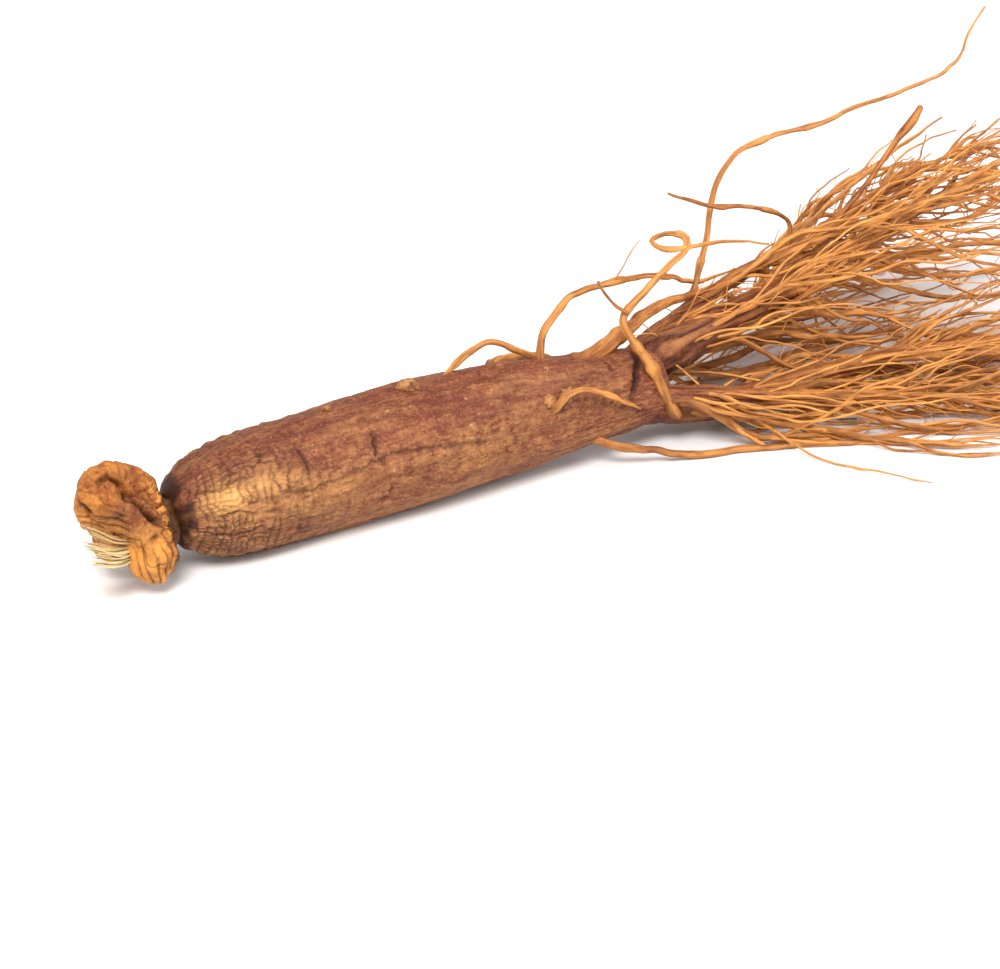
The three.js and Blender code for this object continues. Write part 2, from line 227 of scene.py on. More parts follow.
# A closed tube along a path. relief gives extra height, crease and crest for a length, an angle
# and a radius.
def addTube(bundle, path, at, radius, sides, tone, relief=None, flat=1.0, grainShift=0.0,
            roundTip=True, ruddyAndShade=0.0):
    _, side, up = sideFrames(path)
    steps = len(path)
    angle = np.linspace(0, 2 * math.pi, sides, endpoint=False)
    alongGrid, angleGrid = np.meshgrid(at, angle, indexing="ij")
    radiusGrid = np.repeat(np.asarray(radius, float)[:, None], sides, 1)
    crease = crest = np.zeros_like(radiusGrid)
    if relief:
        height, crease, crest = relief(alongGrid, angleGrid, radiusGrid)
        radiusGrid = radiusGrid + height
    c, s = np.cos(angleGrid), np.sin(angleGrid)
    points = path[:, None] + (radiusGrid * c)[..., None] * side[:, None]
    points = points + (radiusGrid * s * flat)[..., None] * up[:, None]
    place = np.stack([alongGrid + grainShift, radiusGrid * c + 0.37 * grainShift, radiusGrid * s], -1)
    tip = 0.6 * radius[-1] if roundTip else 0.0
    lastStep = path[-1] - path[-2]
    poles = np.array([path[0], path[-1] + lastStep / np.linalg.norm(lastStep) * tip])
    polePlace = np.array([[end + grainShift, 0.37 * grainShift, 0] for end in (at[0], at[-1])])
    toneGrid = np.repeat(np.broadcast_to(np.asarray(tone, float), (steps,))[:, None], sides, 1)
    allPoints = np.concatenate([points.reshape(-1, 3), poles])
    allPoints[:, 2] = np.maximum(allPoints[:, 2], 0.04)
    addPart(
        bundle,
        allPoints,
        ringFaces(steps, sides),
        capFaces(steps, sides, steps * sides, steps * sides + 1),
        np.concatenate([place.reshape(-1, 3), polePlace]),
        np.concatenate([crease.ravel(), [0, 0]]),
        np.concatenate([crest.ravel(), [0, 0]]),
        np.concatenate([toneGrid.ravel(), [toneGrid[0, 0], toneGrid[-1, 0]]]),
        np.concatenate([np.repeat(np.broadcast_to(np.asarray(ruddyAndShade, float), (steps,)), sides), [0, 0]]),
    )


# Materials

def paint(red, green, blue):
    channels = []
    for value in (red / 255, green / 255, blue / 255):
        channels.append(value / 12.92 if value <= 0.04045 else ((value + 0.055) / 1.055) ** 2.4)
    return (*channels, 1)


def groupNamed(name, inputs, outputs):
    tree = bpy.data.node_groups.new(name, "ShaderNodeTree")
    for socketName, kind, value in inputs:
        socket = tree.interface.new_socket(socketName, in_out="INPUT", socket_type=kind)
        socket.default_value = value
    for socketName, kind in outputs:
        tree.interface.new_socket(socketName, in_out="OUTPUT", socket_type=kind)
    return tree, tree.nodes.new("NodeGroupInput").outputs, tree.nodes.new("NodeGroupOutput").inputs


# An input given as a number or a colour is set, and one given as a socket is linked
def addNode(tree, kind, settings, inputs):
    node = tree.nodes.new(kind)
    for key, value in settings.items():
        setattr(node, key, value)
    for key, value in inputs.items():
        if isinstance(value, (int, float, tuple)):
            node.inputs[key].default_value = value
        else:
            tree.links.new(value, node.inputs[key])
    return node


def mathNode(tree, operation, a, b, clamp=False):
    settings = {"operation": operation, "use_clamp": clamp}
    return addNode(tree, "ShaderNodeMath", settings, {0: a, 1: b}).outputs[0]


def mixColour(tree, factor, a, b):
    settings = {"data_type": "RGBA", "blend_type": "MIX"}
    return addNode(tree, "ShaderNodeMix", settings, {0: factor, 6: a, 7: b}).outputs[2]


# What the mesh holds at each vertex
def painted(tree, name, socket="Fac"):
    settings = {"attribute_type": "GEOMETRY", "attribute_name": name}
    return addNode(tree, "ShaderNodeAttribute", settings, {}).outputs[socket]


def rangeOf(tree, value, low, high, newLow=0.0, newHigh=1.0):
    inputs = {"From Min": low, "From Max": high, "To Min": newLow, "To Max": newHigh, "Value": value}
    return addNode(tree, "ShaderNodeMapRange", {"clamp": True}, inputs).outputs[0]


def noiseTexture(tree, place, scale, detail, roughness, distortion):
    return addNode(tree, "ShaderNodeTexNoise", {}, {
        "Detail": detail, "Roughness": roughness, "Distortion": distortion, "Vector": place,
        "Scale": scale}).outputs[0]


# Streaks that run along a strand or along the main root
def makeGrainGroup():
    tree, given, result = groupNamed(
        "lengthwiseGrain",
        [("Place", "NodeSocketVector", (0, 0, 0)), ("Length", "NodeSocketFloat", 5.0),
         ("Width", "NodeSocketFloat", 0.5)],
        [("Streaks", "NodeSocketFloat")])
    parts = addNode(tree, "ShaderNodeSeparateXYZ", {}, {"Vector": given["Place"]}).outputs
    scaled = addNode(tree, "ShaderNodeCombineXYZ", {}, {
        "X": mathNode(tree, "DIVIDE", parts[0], given["Length"]),
        "Y": mathNode(tree, "DIVIDE", parts[1], given["Width"]),
        "Z": mathNode(tree, "DIVIDE", parts[2], given["Width"])})
    streaks = noiseTexture(tree, scaled.outputs[0], 1.0, 4.0, 0.62, 0.35)
    tree.links.new(rangeOf(tree, streaks, 0.3, 0.7), result["Streaks"])
    return tree


# Fine granules of dried skin
def makeGranuleGroup():
    tree, given, result = groupNamed(
        "skinGranules",
        [("Place", "NodeSocketVector", (0, 0, 0)), ("Size", "NodeSocketFloat", 0.3)],
        [("Pale", "NodeSocketFloat"), ("Dark", "NodeSocketFloat")])
    scale = mathNode(tree, "DIVIDE", 1.0, given["Size"])
    fine = noiseTexture(tree, given["Place"], scale, 3.0, 0.7, 0.0)
    coarse = noiseTexture(tree, given["Place"], mathNode(tree, "MULTIPLY", scale, 0.42), 2.0, 0.6, 0.4)
    flecks = rangeOf(tree, coarse, 0.65, 0.74)
    granules = rangeOf(tree, fine, 0.56, 0.7)
    tree.links.new(mathNode(tree, "MAXIMUM", granules, flecks), result["Pale"])
    tree.links.new(rangeOf(tree, fine, 0.44, 0.3), result["Dark"])
    return tree


# Darkens furrows and lightens what stands proud of them: partly the skin's own darker cracks and paler beads,
# partly painted shade in the hollows and painted highlight on the ridges
def makeReliefTintGroup():
    tree, given, result = groupNamed(
        "reliefTint",
        [("Colour", "NodeSocketColor", (0.5, 0.5, 0.5, 1)),
         ("Furrow", "NodeSocketColor", (0.1, 0.05, 0.02, 1)),
         ("Crest", "NodeSocketColor", (0.7, 0.5, 0.3, 1)),
         ("Furrow Amount", "NodeSocketFloat", 1.0),
         ("Crest Amount", "NodeSocketFloat", 0.5)],
        [("Colour", "NodeSocketColor")])
    crease = painted(tree, "crease")
    crest = painted(tree, "crest")
    lightening = mathNode(tree, "MULTIPLY", crest, given["Crest Amount"], True)
    lightened = mixColour(tree, lightening, given["Colour"], given["Crest"])
    darkening = mathNode(tree, "MULTIPLY", crease, given["Furrow Amount"], True)
    darkened = mixColour(tree, darkening, lightened, given["Furrow"])
    tree.links.new(darkened, result["Colour"])
    return tree


grainGroup = makeGrainGroup()
granuleGroup = makeGranuleGroup()
reliefTintGroup = makeReliefTintGroup()

bumpDistance = 0.00012    # metres

# Each skin's furrow colour is partly painted shade and its crest colour partly painted highlight; the ruddy
# colour also lays painted shade on the top of the main root and on low rootlets
skins = {
    "mainRootSkin": {
        "deep": paint(105, 45, 24), "pale": paint(230, 168, 98), "ruddyAndShade": paint(122, 60, 42), "ruddyAndShadeMix": 0.7,
        "furrow": paint(36, 11, 5), "crest": paint(218, 158, 100), "granule": paint(224, 168, 114),
        "dark": paint(74, 28, 15), "furrowAmount": 0.92, "crestAmount": 0.28, "grainLength": 0.9,
        "grainWidth": 0.36, "grainMix": 0.26, "granuleSize": 0.36, "granuleMix": 0.42, "darkMix": 0.42,
        "roughness": (0.42, 0.66), "bump": 0.7, "sheen": 0.26,
    },
    "rhizomeSkin": {
        "deep": paint(124, 52, 14), "pale": paint(214, 142, 60), "ruddyAndShade": paint(92, 42, 26), "ruddyAndShadeMix": 0.85,
        "furrow": paint(34, 10, 4), "crest": paint(226, 158, 78), "granule": paint(226, 166, 92),
        "dark": paint(104, 42, 14), "furrowAmount": 0.9, "crestAmount": 0.4, "grainLength": 1.2,
        "grainWidth": 0.7, "grainMix": 0.3, "granuleSize": 0.5, "granuleMix": 0.25, "darkMix": 0.26,
        "roughness": (0.4, 0.58), "bump": 0.45, "sheen": 0.24,
    },
    "tailSkin": {
        "deep": paint(122, 54, 24), "pale": paint(214, 138, 64), "ruddyAndShade": paint(106, 50, 36), "ruddyAndShadeMix": 0.9,
        "furrow": paint(56, 20, 9), "crest": paint(222, 156, 90), "granule": paint(226, 166, 100),
        "dark": paint(84, 34, 16), "furrowAmount": 0.9, "crestAmount": 0.4, "grainLength": 3.0,
        "grainWidth": 0.34, "grainMix": 0.55, "granuleSize": 0.36, "granuleMix": 0.42, "darkMix": 0.46,
        "roughness": (0.42, 0.64), "bump": 0.6, "sheen": 0.26,
    },
    "rootletSkin": {
        "deep": paint(144, 74, 31), "pale": paint(236, 163, 84), "ruddyAndShade": paint(96, 42, 24), "ruddyAndShadeMix": 0.85,
        "furrow": paint(68, 26, 9), "crest": paint(232, 164, 90), "granule": paint(230, 168, 94),
        "dark": paint(100, 42, 16), "furrowAmount": 0.85, "crestAmount": 0.4, "grainLength": 4.5,
        "grainWidth": 0.3, "grainMix": 0.6, "granuleSize": 0.4, "granuleMix": 0.26, "darkMix": 0.42,
        "roughness": (0.42, 0.62), "bump": 0.6, "sheen": 0.26,
    },
    "stemFibre": {
        "deep": paint(176, 122, 58), "pale": paint(228, 208, 158), "ruddyAndShade": paint(140, 84, 44),
        "furrow": paint(120, 80, 38), "crest": paint(236, 222, 180), "granule": paint(234, 220, 178),
        "dark": paint(150, 104, 56), "ruddyAndShadeMix": 0.6, "furrowAmount": 0.8, "crestAmount": 0.4,
        "grainLength": 3.0, "grainWidth": 0.14, "grainMix": 0.6, "granuleSize": 0.3, "granuleMix": 0.2,
        "darkMix": 0.3, "roughness": (0.55, 0.75), "bump": 0.5, "sheen": 0.3,
    },
}


def useGroup(tree, group, inputs):
    return addNode(tree, "ShaderNodeGroup", {"node_tree": group}, inputs).outputs


# A mask that swings evenly to both sides of zero
def centred(tree, value, amount):
    return mathNode(tree, "MULTIPLY", mathNode(tree, "SUBTRACT", value, 0.5), amount)


def makeSkin(name, look):
    material = bpy.data.materials.new(name)
    material.use_nodes = True
    tree = material.node_tree
    shader = tree.nodes["Principled BSDF"]
    place = painted(tree, "grainPlace", "Vector")
    tone = painted(tree, "tone")

    streaks, blotches = (
        useGroup(tree, grainGroup, {
            "Length": look["grainLength"] * longer, "Width": look["grainWidth"] * wider,
            "Place": place})["Streaks"]
        for longer, wider in ((1, 1), (2.2, 7)))
    granules = useGroup(tree, granuleGroup, {"Size": look["granuleSize"], "Place": place})

    # base tone, moved by soft blotches and by fine streaks
    moved = mathNode(tree, "ADD", tone, centred(tree, blotches, 0.36))
    streaky = mathNode(tree, "ADD", moved, centred(tree, streaks, look["grainMix"] * 1.6), True)
    colour = mixColour(tree, streaky, look["deep"], look["pale"])
    # the ruddy tint is partly the skin's own redness and partly painted shade on the top of the main root and
    # on low rootlets
    ruddyAndShadeMask = painted(tree, "ruddyAndShade")
    for mask, kind in ((ruddyAndShadeMask, "ruddyAndShade"), (granules["Pale"], "granule"), (granules["Dark"], "dark")):
        share = mathNode(tree, "MULTIPLY", mask, look[kind + "Mix"])
        colour = mixColour(tree, share, colour, look[kind])
    # painted shade in furrows and painted highlight on crests, mixed with the skin's own darker cracks and
    # paler beads
    tinted = useGroup(tree, reliefTintGroup, {
        "Furrow": look["furrow"], "Crest": look["crest"], "Furrow Amount": look["furrowAmount"],
        "Crest Amount": look["crestAmount"], "Colour": colour})["Colour"]
    tree.links.new(tinted, shader.inputs["Base Color"])

    tree.links.new(rangeOf(tree, streaks, 0, 1, *look["roughness"]), shader.inputs["Roughness"])
    lengthwise = mathNode(tree, "MULTIPLY", streaks, 0.7)
    height = mathNode(tree, "ADD", lengthwise, mathNode(tree, "MULTIPLY", granules["Pale"], 0.5))
    bump = addNode(tree, "ShaderNodeBump", {}, {
        "Strength": look["bump"], "Distance": bumpDistance, "Height": height})
    tree.links.new(bump.outputs[0], shader.inputs["Normal"])
    shader.inputs["Specular IOR Level"].default_value = look["sheen"]
    return material


materials = {name: makeSkin(name, look) for name, look in skins.items()}
print("materials ready")


# Nearness to a line of points: distance, and a weight that fades out at its ends
def awayFrom(points, line):
    line = np.asarray(line, float)
    steps = np.concatenate([[0], np.cumsum(np.linalg.norm(np.diff(line, axis=0), axis=1))])
    away = np.full(points.shape[:-1], 1e9)
    place = np.zeros_like(away)
    for a, b, before, length in zip(line[:-1], line[1:], steps[:-1], np.diff(steps)):
        t = np.clip(((points - a) @ (b - a)) / length ** 2, 0, 1)
        gap = np.linalg.norm(points - a - t[..., None] * (b - a), axis=-1)
        place = np.where(gap < away, before + t * length, place)
        away = np.minimum(away, gap)
    ends = np.minimum(place, steps[-1] - place)
    return away, smoothstep(ends, -0.25 * steps[-1], 0.22 * steps[-1])


# Main root

mainRoot = {
    "rings": 350,
    "sides": 268,
    "shoulderX": -38.0,
    "axisHeight": 9.6,
    "profile": [
        (0, 0), (0.7, 3.5), (2.6, 6), (7, 8.2), (14, 9.4), (27, 9.8), (42, 10.25), (54, 9.5),
        (66, 8.5), (77, 7.1), (85, 6.6), (87.8, 6), (89.3, 4.1), (89.8, 0),
    ],
    "lobeDepth": 0.42,
    "ridgeDepth": 0.16,
    "ringDepth": 0.14,
    "ringSpacing": 2.6,
    "ringReach": 24,
    # fine skin, over the form above
    "beadRing": 1.2,      # spacing of the rings of beads on the shoulder
    "beadLines": 62,      # beads in one ring
    "beadDepth": 0.17,
    "beadReach": (9, 30),
    "furrowDepth": 0.13,
    "fineDepth": 0.1,
    "striaDepth": 0.07,
    "grainDepth": 0.06,
    "warts": 150,
    # lines in the skin: (distance from the shoulder, angle) along the line, half width, depth
    "lines": [
        ([(14.5, 1.96), (14.3, 2.12), (13.8, 2.3)], 0.24, 0.5),
        ([(20, 2.2), (20.4, 2.3), (20.7, 2.43), (20.8, 2.6), (20.6, 2.78)], 0.26, 0.5),
        ([(32.6, 2.29), (32.4, 2.47), (32.2, 2.62), (32, 2.75)], 0.28, 0.65),
        ([(6.1, 2.29), (9, 2.28), (13.4, 2.28), (17, 2.35)], 0.2, 0.3),
        ([(18.1, 2.42), (17.4, 2.65), (16.9, 2.88)], 0.2, 0.36),
        ([(15.5, 2.39), (15.2, 2.62), (15.9, 2.85)], 0.2, 0.3),
        ([(15.4, 2.84), (17.8, 2.9), (20.1, 2.94), (25.6, 2.88)], 0.2, 0.3),
        ([(25.6, 2.88), (31.2, 2.77), (34.6, 2.73), (41.2, 2.81), (53.8, 3.03)], 0.3, 0.22),
        ([(3.2, 2.4), (7.0, 2.52), (9.6, 2.42)], 0.22, 0.35),
        ([(5.0, 3.0), (9.0, 2.98), (12.0, 3.1)], 0.22, 0.3),
        ([(2.4, 3.35), (7.0, 3.42), (12.6, 3.36)], 0.2, 0.3),
        ([(34.0, 3.2), (33.6, 3.34)], 0.26, 0.3),
        ([(84.8, 1.5), (83.8, 1.98), (82.6, 2.38), (81.5, 2.72), (80.3, 3.02)], 0.6, 1.0),
    ],
    "looseLines": 44,     # short cracks scattered over the skin
    "crackSeed": 606,
    "wartSeed": 77,
    "crackRadius": 9.6,   # turns an angle of a crack into a length
    # worn places: distance, angle, half length, half width as an angle, strength
    "palePatches": [(7.3, 2.68, 3.3, 0.3, 1), (14, 2.56, 4.6, 0.25, 0.5)],
    "neckShadeReach": (1.3, 3.3),      # painted shade, almost black, beside the neck fades out between these
}

# Broken-off rootlets: distance from the shoulder, angle, radius, height
stubs = [
    (42.6, 1.62, 1.7, 0.8), (29, 1.52, 0.8, 0.5), (58, 1.56, 0.8, 0.9), (36, -0.3, 1.1, 0.8),
    (62, 0.5, 1.2, 0.8), (68, 2.55, 1.4, 0.7), (22, 0.3, 1, 0.7), (64.3, 2.6, 1, 0.35),
]

profileCurve = mainRoot["profile"]


def profileTable():
    points = np.array(profileCurve, float)
    count = len(points)
    out = []
    for t in np.linspace(0, 1, 1400):
        p = (count - 1) * t
        i = min(int(p), count - 1)
        w = p - i
        p0, p1 = points[max(i - 1, 0)], points[i]
        p2, p3 = points[min(i + 1, count - 1)], points[min(i + 2, count - 1)]
        v0, v1 = (p2 - p0) * 0.5, (p3 - p1) * 0.5
        cubed, squared = 2 * p1 - 2 * p2 + v0 + v1, -3 * p1 + 3 * p2 - 2 * v0 - v1
        out.append(cubed * w ** 3 + squared * w * w + v0 * w + p1)
    return np.array(out)


profilePoints = profileTable()


def bodyRadius(along):
    order = np.argsort(profilePoints[:, 0])
    return np.interp(along, profilePoints[order, 0], profilePoints[order, 1])


def angleGap(angle, middle):
    return np.abs(np.arctan2(np.sin(angle - middle), np.cos(angle - middle)))


def bodyForm(along, angle):
    ends = smoothstep(along, 1, 9) * (1 - smoothstep(along, 80, 88))
    lobes = 0.6 * np.sin(2 * angle + 0.06 * along + 0.6) + 0.4 * np.sin(3 * angle - 0.09 * along + 2.1)
    ridges = np.sin(9 * angle + 1.4 * np.sin(0.11 * along)) * np.sin(0.21 * along + 2 * angle)
    reach = mainRoot["ringReach"]
    fade = smoothstep(along, 0.5, 4) * (1 - smoothstep(along, 0.35 * reach, reach))
    rings = np.cos(2 * math.pi * (along + 0.5 * np.sin(2 * angle)) / mainRoot["ringSpacing"])
    swell = mainRoot["lobeDepth"] * lobes + mainRoot["ridgeDepth"] * ridges
    return ends * swell + mainRoot["ringDepth"] * rings * fade


def fromAxis(along, angle, radius):
    middleY = 0.7 * np.sin(0.045 * along)
    middleZ = mainRoot["axisHeight"] + 0.45 * np.sin(0.052 * along - 1.9) - 0.1
    y, z = middleY + radius * np.cos(angle), middleZ + radius * np.sin(angle)
    return np.stack([mainRoot["shoulderX"] + along, y, z], -1)


# A crack in the skin: its depth, and its shape from 0 to 1. The line goes by distance and angle.
def skinLine(along, angle, line, wide, depth, seed):
    middle = line[len(line) // 2][1]
    across = mainRoot["crackRadius"] * np.arctan2(np.sin(angle - middle), np.cos(angle - middle))
    low, high = min(p[0] for p in line) - 3, max(p[0] for p in line) + 3
    rows = (along[:, 0] > low) & (along[:, 0] < high)
    cut = np.zeros_like(along)
    if rows.any():
        a, c = along[rows], across[rows]
        wiggle = 0.3 * noise(a * 1.1, c * 1.1, seed, 25) + 0.16 * noise(a * 3, c * 3, seed, 27)
        points = np.stack([a + wiggle, c + wiggle], -1)
        away, ends = awayFrom(points, [(p[0], mainRoot["crackRadius"] * (p[1] - middle)) for p in line])
        cut[rows] = np.exp(-((away / wide) ** 2)) * ends
    return cut * depth, cut


# The pale patch on the side of the shoulder, where the outer skin has worn off
def palePatch(along, angle):
    patch = np.zeros_like(along)
    for at, middle, long, wide, strength in mainRoot["palePatches"]:
        fade = np.exp(-((along - at) / long) ** 2 - (angleGap(angle, middle) / wide) ** 2)
        patch = np.maximum(patch, strength * fade)
    return patch


# Height, furrow and crest of the skin at a place on the main root
def bodySkin(along, angle):
    c, s = np.cos(angle), np.sin(angle)
    height = bodyForm(along, angle)
    wander = noise(along / 6, 2 * c, 2 * s, 3)
    fromTop = angleGap(angle, 0.5 * math.pi)

    # beads on the shoulder: wavy rings crossed by short lengthwise furrows
    start, end = mainRoot["beadReach"]
    net = smoothstep(along, 0.2, 1.6) * (1 - smoothstep(along, start, end))
    net *= 0.4 + 0.6 * smoothstep(fromTop, 0.3, 1.0)
    net *= 1 - 0.35 * palePatch(along, angle)
    spacing = mainRoot["beadRing"]
    waves = 0.4 * noise(along / 1.4, 8 * c, 8 * s, 4)
    ringPlace = (along + 0.35 * np.sin(2 * angle) + 0.9 * wander + waves) / spacing
    ringAway = np.abs(ringPlace - np.round(ringPlace)) * spacing
    ringOn = smoothstep(noise(along / 2.4, 5 * c, 5 * s, 5) + 0.5 * (1 - smoothstep(along, 5, 11)), -0.5, 0.1)
    ringFurrow = np.exp(-((ringAway / 0.19) ** 2)) * ringOn
    row = np.floor(ringPlace + 0.5)
    linePlace = angle / (2 * math.pi) * mainRoot["beadLines"]
    linePlace = linePlace + 0.8 * noise(along / 1.7, 6 * c, 6 * s, 7) + 0.5 * np.sin(row * 2.7)
    lineAway = np.abs(linePlace - np.round(linePlace)) * 2 * math.pi * 9 / mainRoot["beadLines"]
    lineOn = smoothstep(noise(along / 3.5, 6 * c, 6 * s, 9), -0.5, 0.1)
    lineFurrow = np.exp(-((lineAway / 0.17) ** 2)) * lineOn * smoothstep(along, 1, 4)
    netFurrow = net * np.maximum(ringFurrow, 0.85 * lineFurrow)
    height -= mainRoot["beadDepth"] * netFurrow

    # wavy lengthwise furrows of the dried skin, and short striae between them
    twist = angle + 0.05 * noise(along / 5, 2 * c, 2 * s, 11)
    tc, ts = 10 * np.cos(twist), 10 * np.sin(twist)
    ends = smoothstep(along, 1, 6)
    deepFurrow = ridged(8, along / 13, tc / 1.7, ts / 1.7, 13)
    fineFurrow = ridged(6, along / 6, tc / 0.8, ts / 0.8, 15)
    softRidge = noise(along / 15, tc / 2.8, ts / 2.8, 17)
    height += ends * (0.2 * softRidge - mainRoot["furrowDepth"] * deepFurrow * (1 - 0.5 * net))
    height -= mainRoot["fineDepth"] * fineFurrow * ends
    stria = noise(along / 1.9, tc / 0.42, ts / 0.42, 19)
    grain = noise(along / 0.55, tc / 0.45, ts / 0.45, 23)
    height += mainRoot["striaDepth"] * stria + mainRoot["grainDepth"] * grain

    # crease: the skin's own dark cracks, plus painted shade in the furrows and bead rings
    crease = 0.8 * netFurrow + (0.24 * deepFurrow + 0.2 * fineFurrow) * ends + 0.16 * np.maximum(-stria, 0)
    for number, (line, wide, depth) in enumerate(mainRoot["lines"]):
        cut, shape = skinLine(along, angle, line, wide, depth, 3.3 * number)
        height -= cut
        crease = np.maximum(crease, shape * min(1, 0.45 + depth))
    draw = seededRandom(mainRoot["crackSeed"])
    for number in range(mainRoot["looseLines"]):
        at, middle = 2 + 84 * draw() ** 1.15, 2 * math.pi * draw()
        if draw() < 0.5:
            half = 0.07 + 0.16 * draw()
            line = [
                (at, middle - half), (at + 0.8 * (draw() - 0.5), middle),
                (at + 0.6 * (draw() - 0.5), middle + half)]
        else:
            half = 1.5 + 4 * draw()
            line = [
                (at - half, middle), (at, middle + 0.06 * (draw() - 0.5)),
                (at + half, middle + 0.1 * (draw() - 0.5))]
        cut, shape = skinLine(along, angle, line, 0.2, 0.08 + 0.2 * draw(), 200 + 3.3 * number)
        height -= cut
        crease = np.maximum(crease, (0.3 + 0.35 * draw()) * shape)

    # small warts and lenticels
    draw = seededRandom(mainRoot["wartSeed"])
    warts = np.zeros_like(height)
    for _ in range(mainRoot["warts"]):
        at, middle = 2 + 85 * draw(), 2 * math.pi * draw()
        wide, long = 0.25 + 0.45 * draw(), 0.2 + 0.4 * draw()
        tall = 0.08 + 0.18 * draw()
        rows = np.abs(along[:, 0] - at) < 4 * long
        gap = angleGap(angle[rows], middle) * 9.5
        wart = tall * np.exp(-((along[rows] - at) / long) ** 2 - (gap / wide) ** 2)
        warts[rows] = np.maximum(warts[rows], wart)
    height += warts

    bead = net * np.cos(math.pi * (ringPlace - np.round(ringPlace))) ** 2
    bead = bead * np.cos(math.pi * (linePlace - np.round(linePlace))) ** 2
    crease = np.clip(crease, 0, 1)
    # crest: paler beads and warts of the skin, plus painted highlight on raised ridges
    crest = 0.3 + 0.4 * softRidge + 0.3 * stria + 0.4 * grain - 0.9 * crease + 3 * warts + 0.6 * bead
    crest = np.clip(crest, 0, 1)
    return height, crease, crest


def brokenEnd(number, wide):
    def relief(along, angle, radius):
        c, s = np.cos(angle), np.sin(angle)
        lumps = layered(along * 1.2, 2 * c, 2 * s + 5 * number, 41)
        grooves = ridged(5, along * 0.6, 4 * c, 4 * s, 43 + number)
        return 0.16 * wide * lumps - 0.14 * wide * grooves, 0.8 * grooves, 0.4 + 0.4 * lumps
    return relief


def makeMainRoot():
    rings, sides = mainRoot["rings"], mainRoot["sides"]
    # rings lie closer together on the shoulder and at the rounded ends
    share = np.linspace(0, 1, rings)
    length = profileCurve[-1][0]
    along = length * (0.8 * share + 0.2 * share * share - 0.02 * np.sin(2 * math.pi * share))
    along = np.clip(along, 0.03, length - 0.03)
    angle = np.linspace(0, 2 * math.pi, sides, endpoint=False)
    alongGrid, angleGrid = np.meshgrid(along, angle, indexing="ij")
    plain = bodyRadius(alongGrid)
    height, crease, crest = bodySkin(alongGrid, angleGrid)
    radius = plain + height * np.minimum(1, plain / 4)
    points = fromAxis(alongGrid, angleGrid, np.maximum(radius, 0.02))
    points[..., 2] = np.maximum(points[..., 2], 0.0)

    c, s = np.cos(angleGrid), np.sin(angleGrid)
    fromTop = angleGap(angleGrid, 0.5 * math.pi)
    patch = palePatch(alongGrid, angleGrid)
    # painted shade: the top strip, turned away from the light, is painted darker and redder, and the near
    # side and underside paler
    lower = smoothstep(fromTop, 0.75, 1.3)
    shoulder = 1 - smoothstep(alongGrid, 12, 34)
    shade = layered(alongGrid / 12, 1.8 * c, 1.8 * s, 31)
    tone = 0.12 + 0.86 * patch + 0.12 * shade + 0.17 * lower * (0.35 + 0.65 * shoulder)
    tone -= 0.06 * (1 - lower)
    # painted shade: darker skin next to the neck crevice
    tone -= 0.3 * (1 - smoothstep(alongGrid, 1, 6.5)) * (1 - 0.6 * lower)
    dull = smoothstep(layered(alongGrid / 16, 1.3 * c, 1.3 * s, 35), -0.1, 0.7)
    dull *= smoothstep(alongGrid, 16, 42)
    # ruddy: redder dull patches and far end of the skin, plus painted shade along the top strip
    ruddyAndShade = 0.22 + 0.34 * dull + 0.3 * (1 - lower) - 0.6 * patch + 0.7 * smoothstep(alongGrid, 81, 84.5)
    ruddyAndShade = np.clip(ruddyAndShade, 0, 1)
    tone -= 0.12 * smoothstep(alongGrid, 58, 76) + 0.3 * smoothstep(alongGrid, 80, 84)
    # painted shade: beside the neck the skin is painted almost black through the crease tint, fading out
    # along the root
    ragged = 1.3 * noise(alongGrid / 1.2, 4 * c, 4 * s, 37)
    dark = 1 - smoothstep(alongGrid + ragged, *mainRoot["neckShadeReach"])
    crease = np.maximum(crease, 0.97 * dark)

    place = np.stack([alongGrid, 10 * c, 10 * s], -1)
    poles = fromAxis(np.array([0.0, length]), np.array([0.0, 0.0]), np.array([0.0, 0.0]))
    bundle = newBundle()
    addPart(
        bundle,
        np.concatenate([points.reshape(-1, 3), poles]),
        ringFaces(rings, sides),
        capFaces(rings, sides, rings * sides, rings * sides + 1),
        np.concatenate([place.reshape(-1, 3), [[0, 0, 0], [length, 0, 0]]]),
        np.concatenate([crease.ravel(), [1, 1]]),
        np.concatenate([crest.ravel(), [0, 0]]),
        np.concatenate([tone.ravel(), [0, 0]]),
        np.concatenate([ruddyAndShade.ravel(), [0, 0]]),
    )

    # broken-off rootlets, flared where they meet the skin and ragged on top
    for number, (at, middle, wide, tall) in enumerate(stubs):
        base = float(bodyRadius(at)) + float(bodyForm(np.array(at), np.array(middle)))
        foot = fromAxis(np.array(at), middle, base - 2.0)
        top = fromAxis(np.array(at), middle, base + tall)
        steps = 22
        path = foot + (top - foot) * np.linspace(0, 1, steps)[:, None]
        rise = np.linspace(-2.0, tall, steps)
        foot = 0.4 * np.exp(-((rise + 0.2) / 0.5) ** 2) * (rise > -1.2)
        radii = wide * (0.8 + foot + 0.1 * np.sin(5 * rise))
        pale = 0.1 + 0.35 * smoothstep(rise, tall - 0.4, tall)
        at = np.linspace(0, tall + 2, steps)
        addTube(bundle, path, at, radii, 26, pale, brokenEnd(number, wide), 1.0, 3.1 * number, False, 0.4)
    return makePiece("mainRoot", bundle, materials["mainRootSkin"])


mainRootPiece = makeMainRoot()
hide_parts("ginseng_root")


# Rhizome

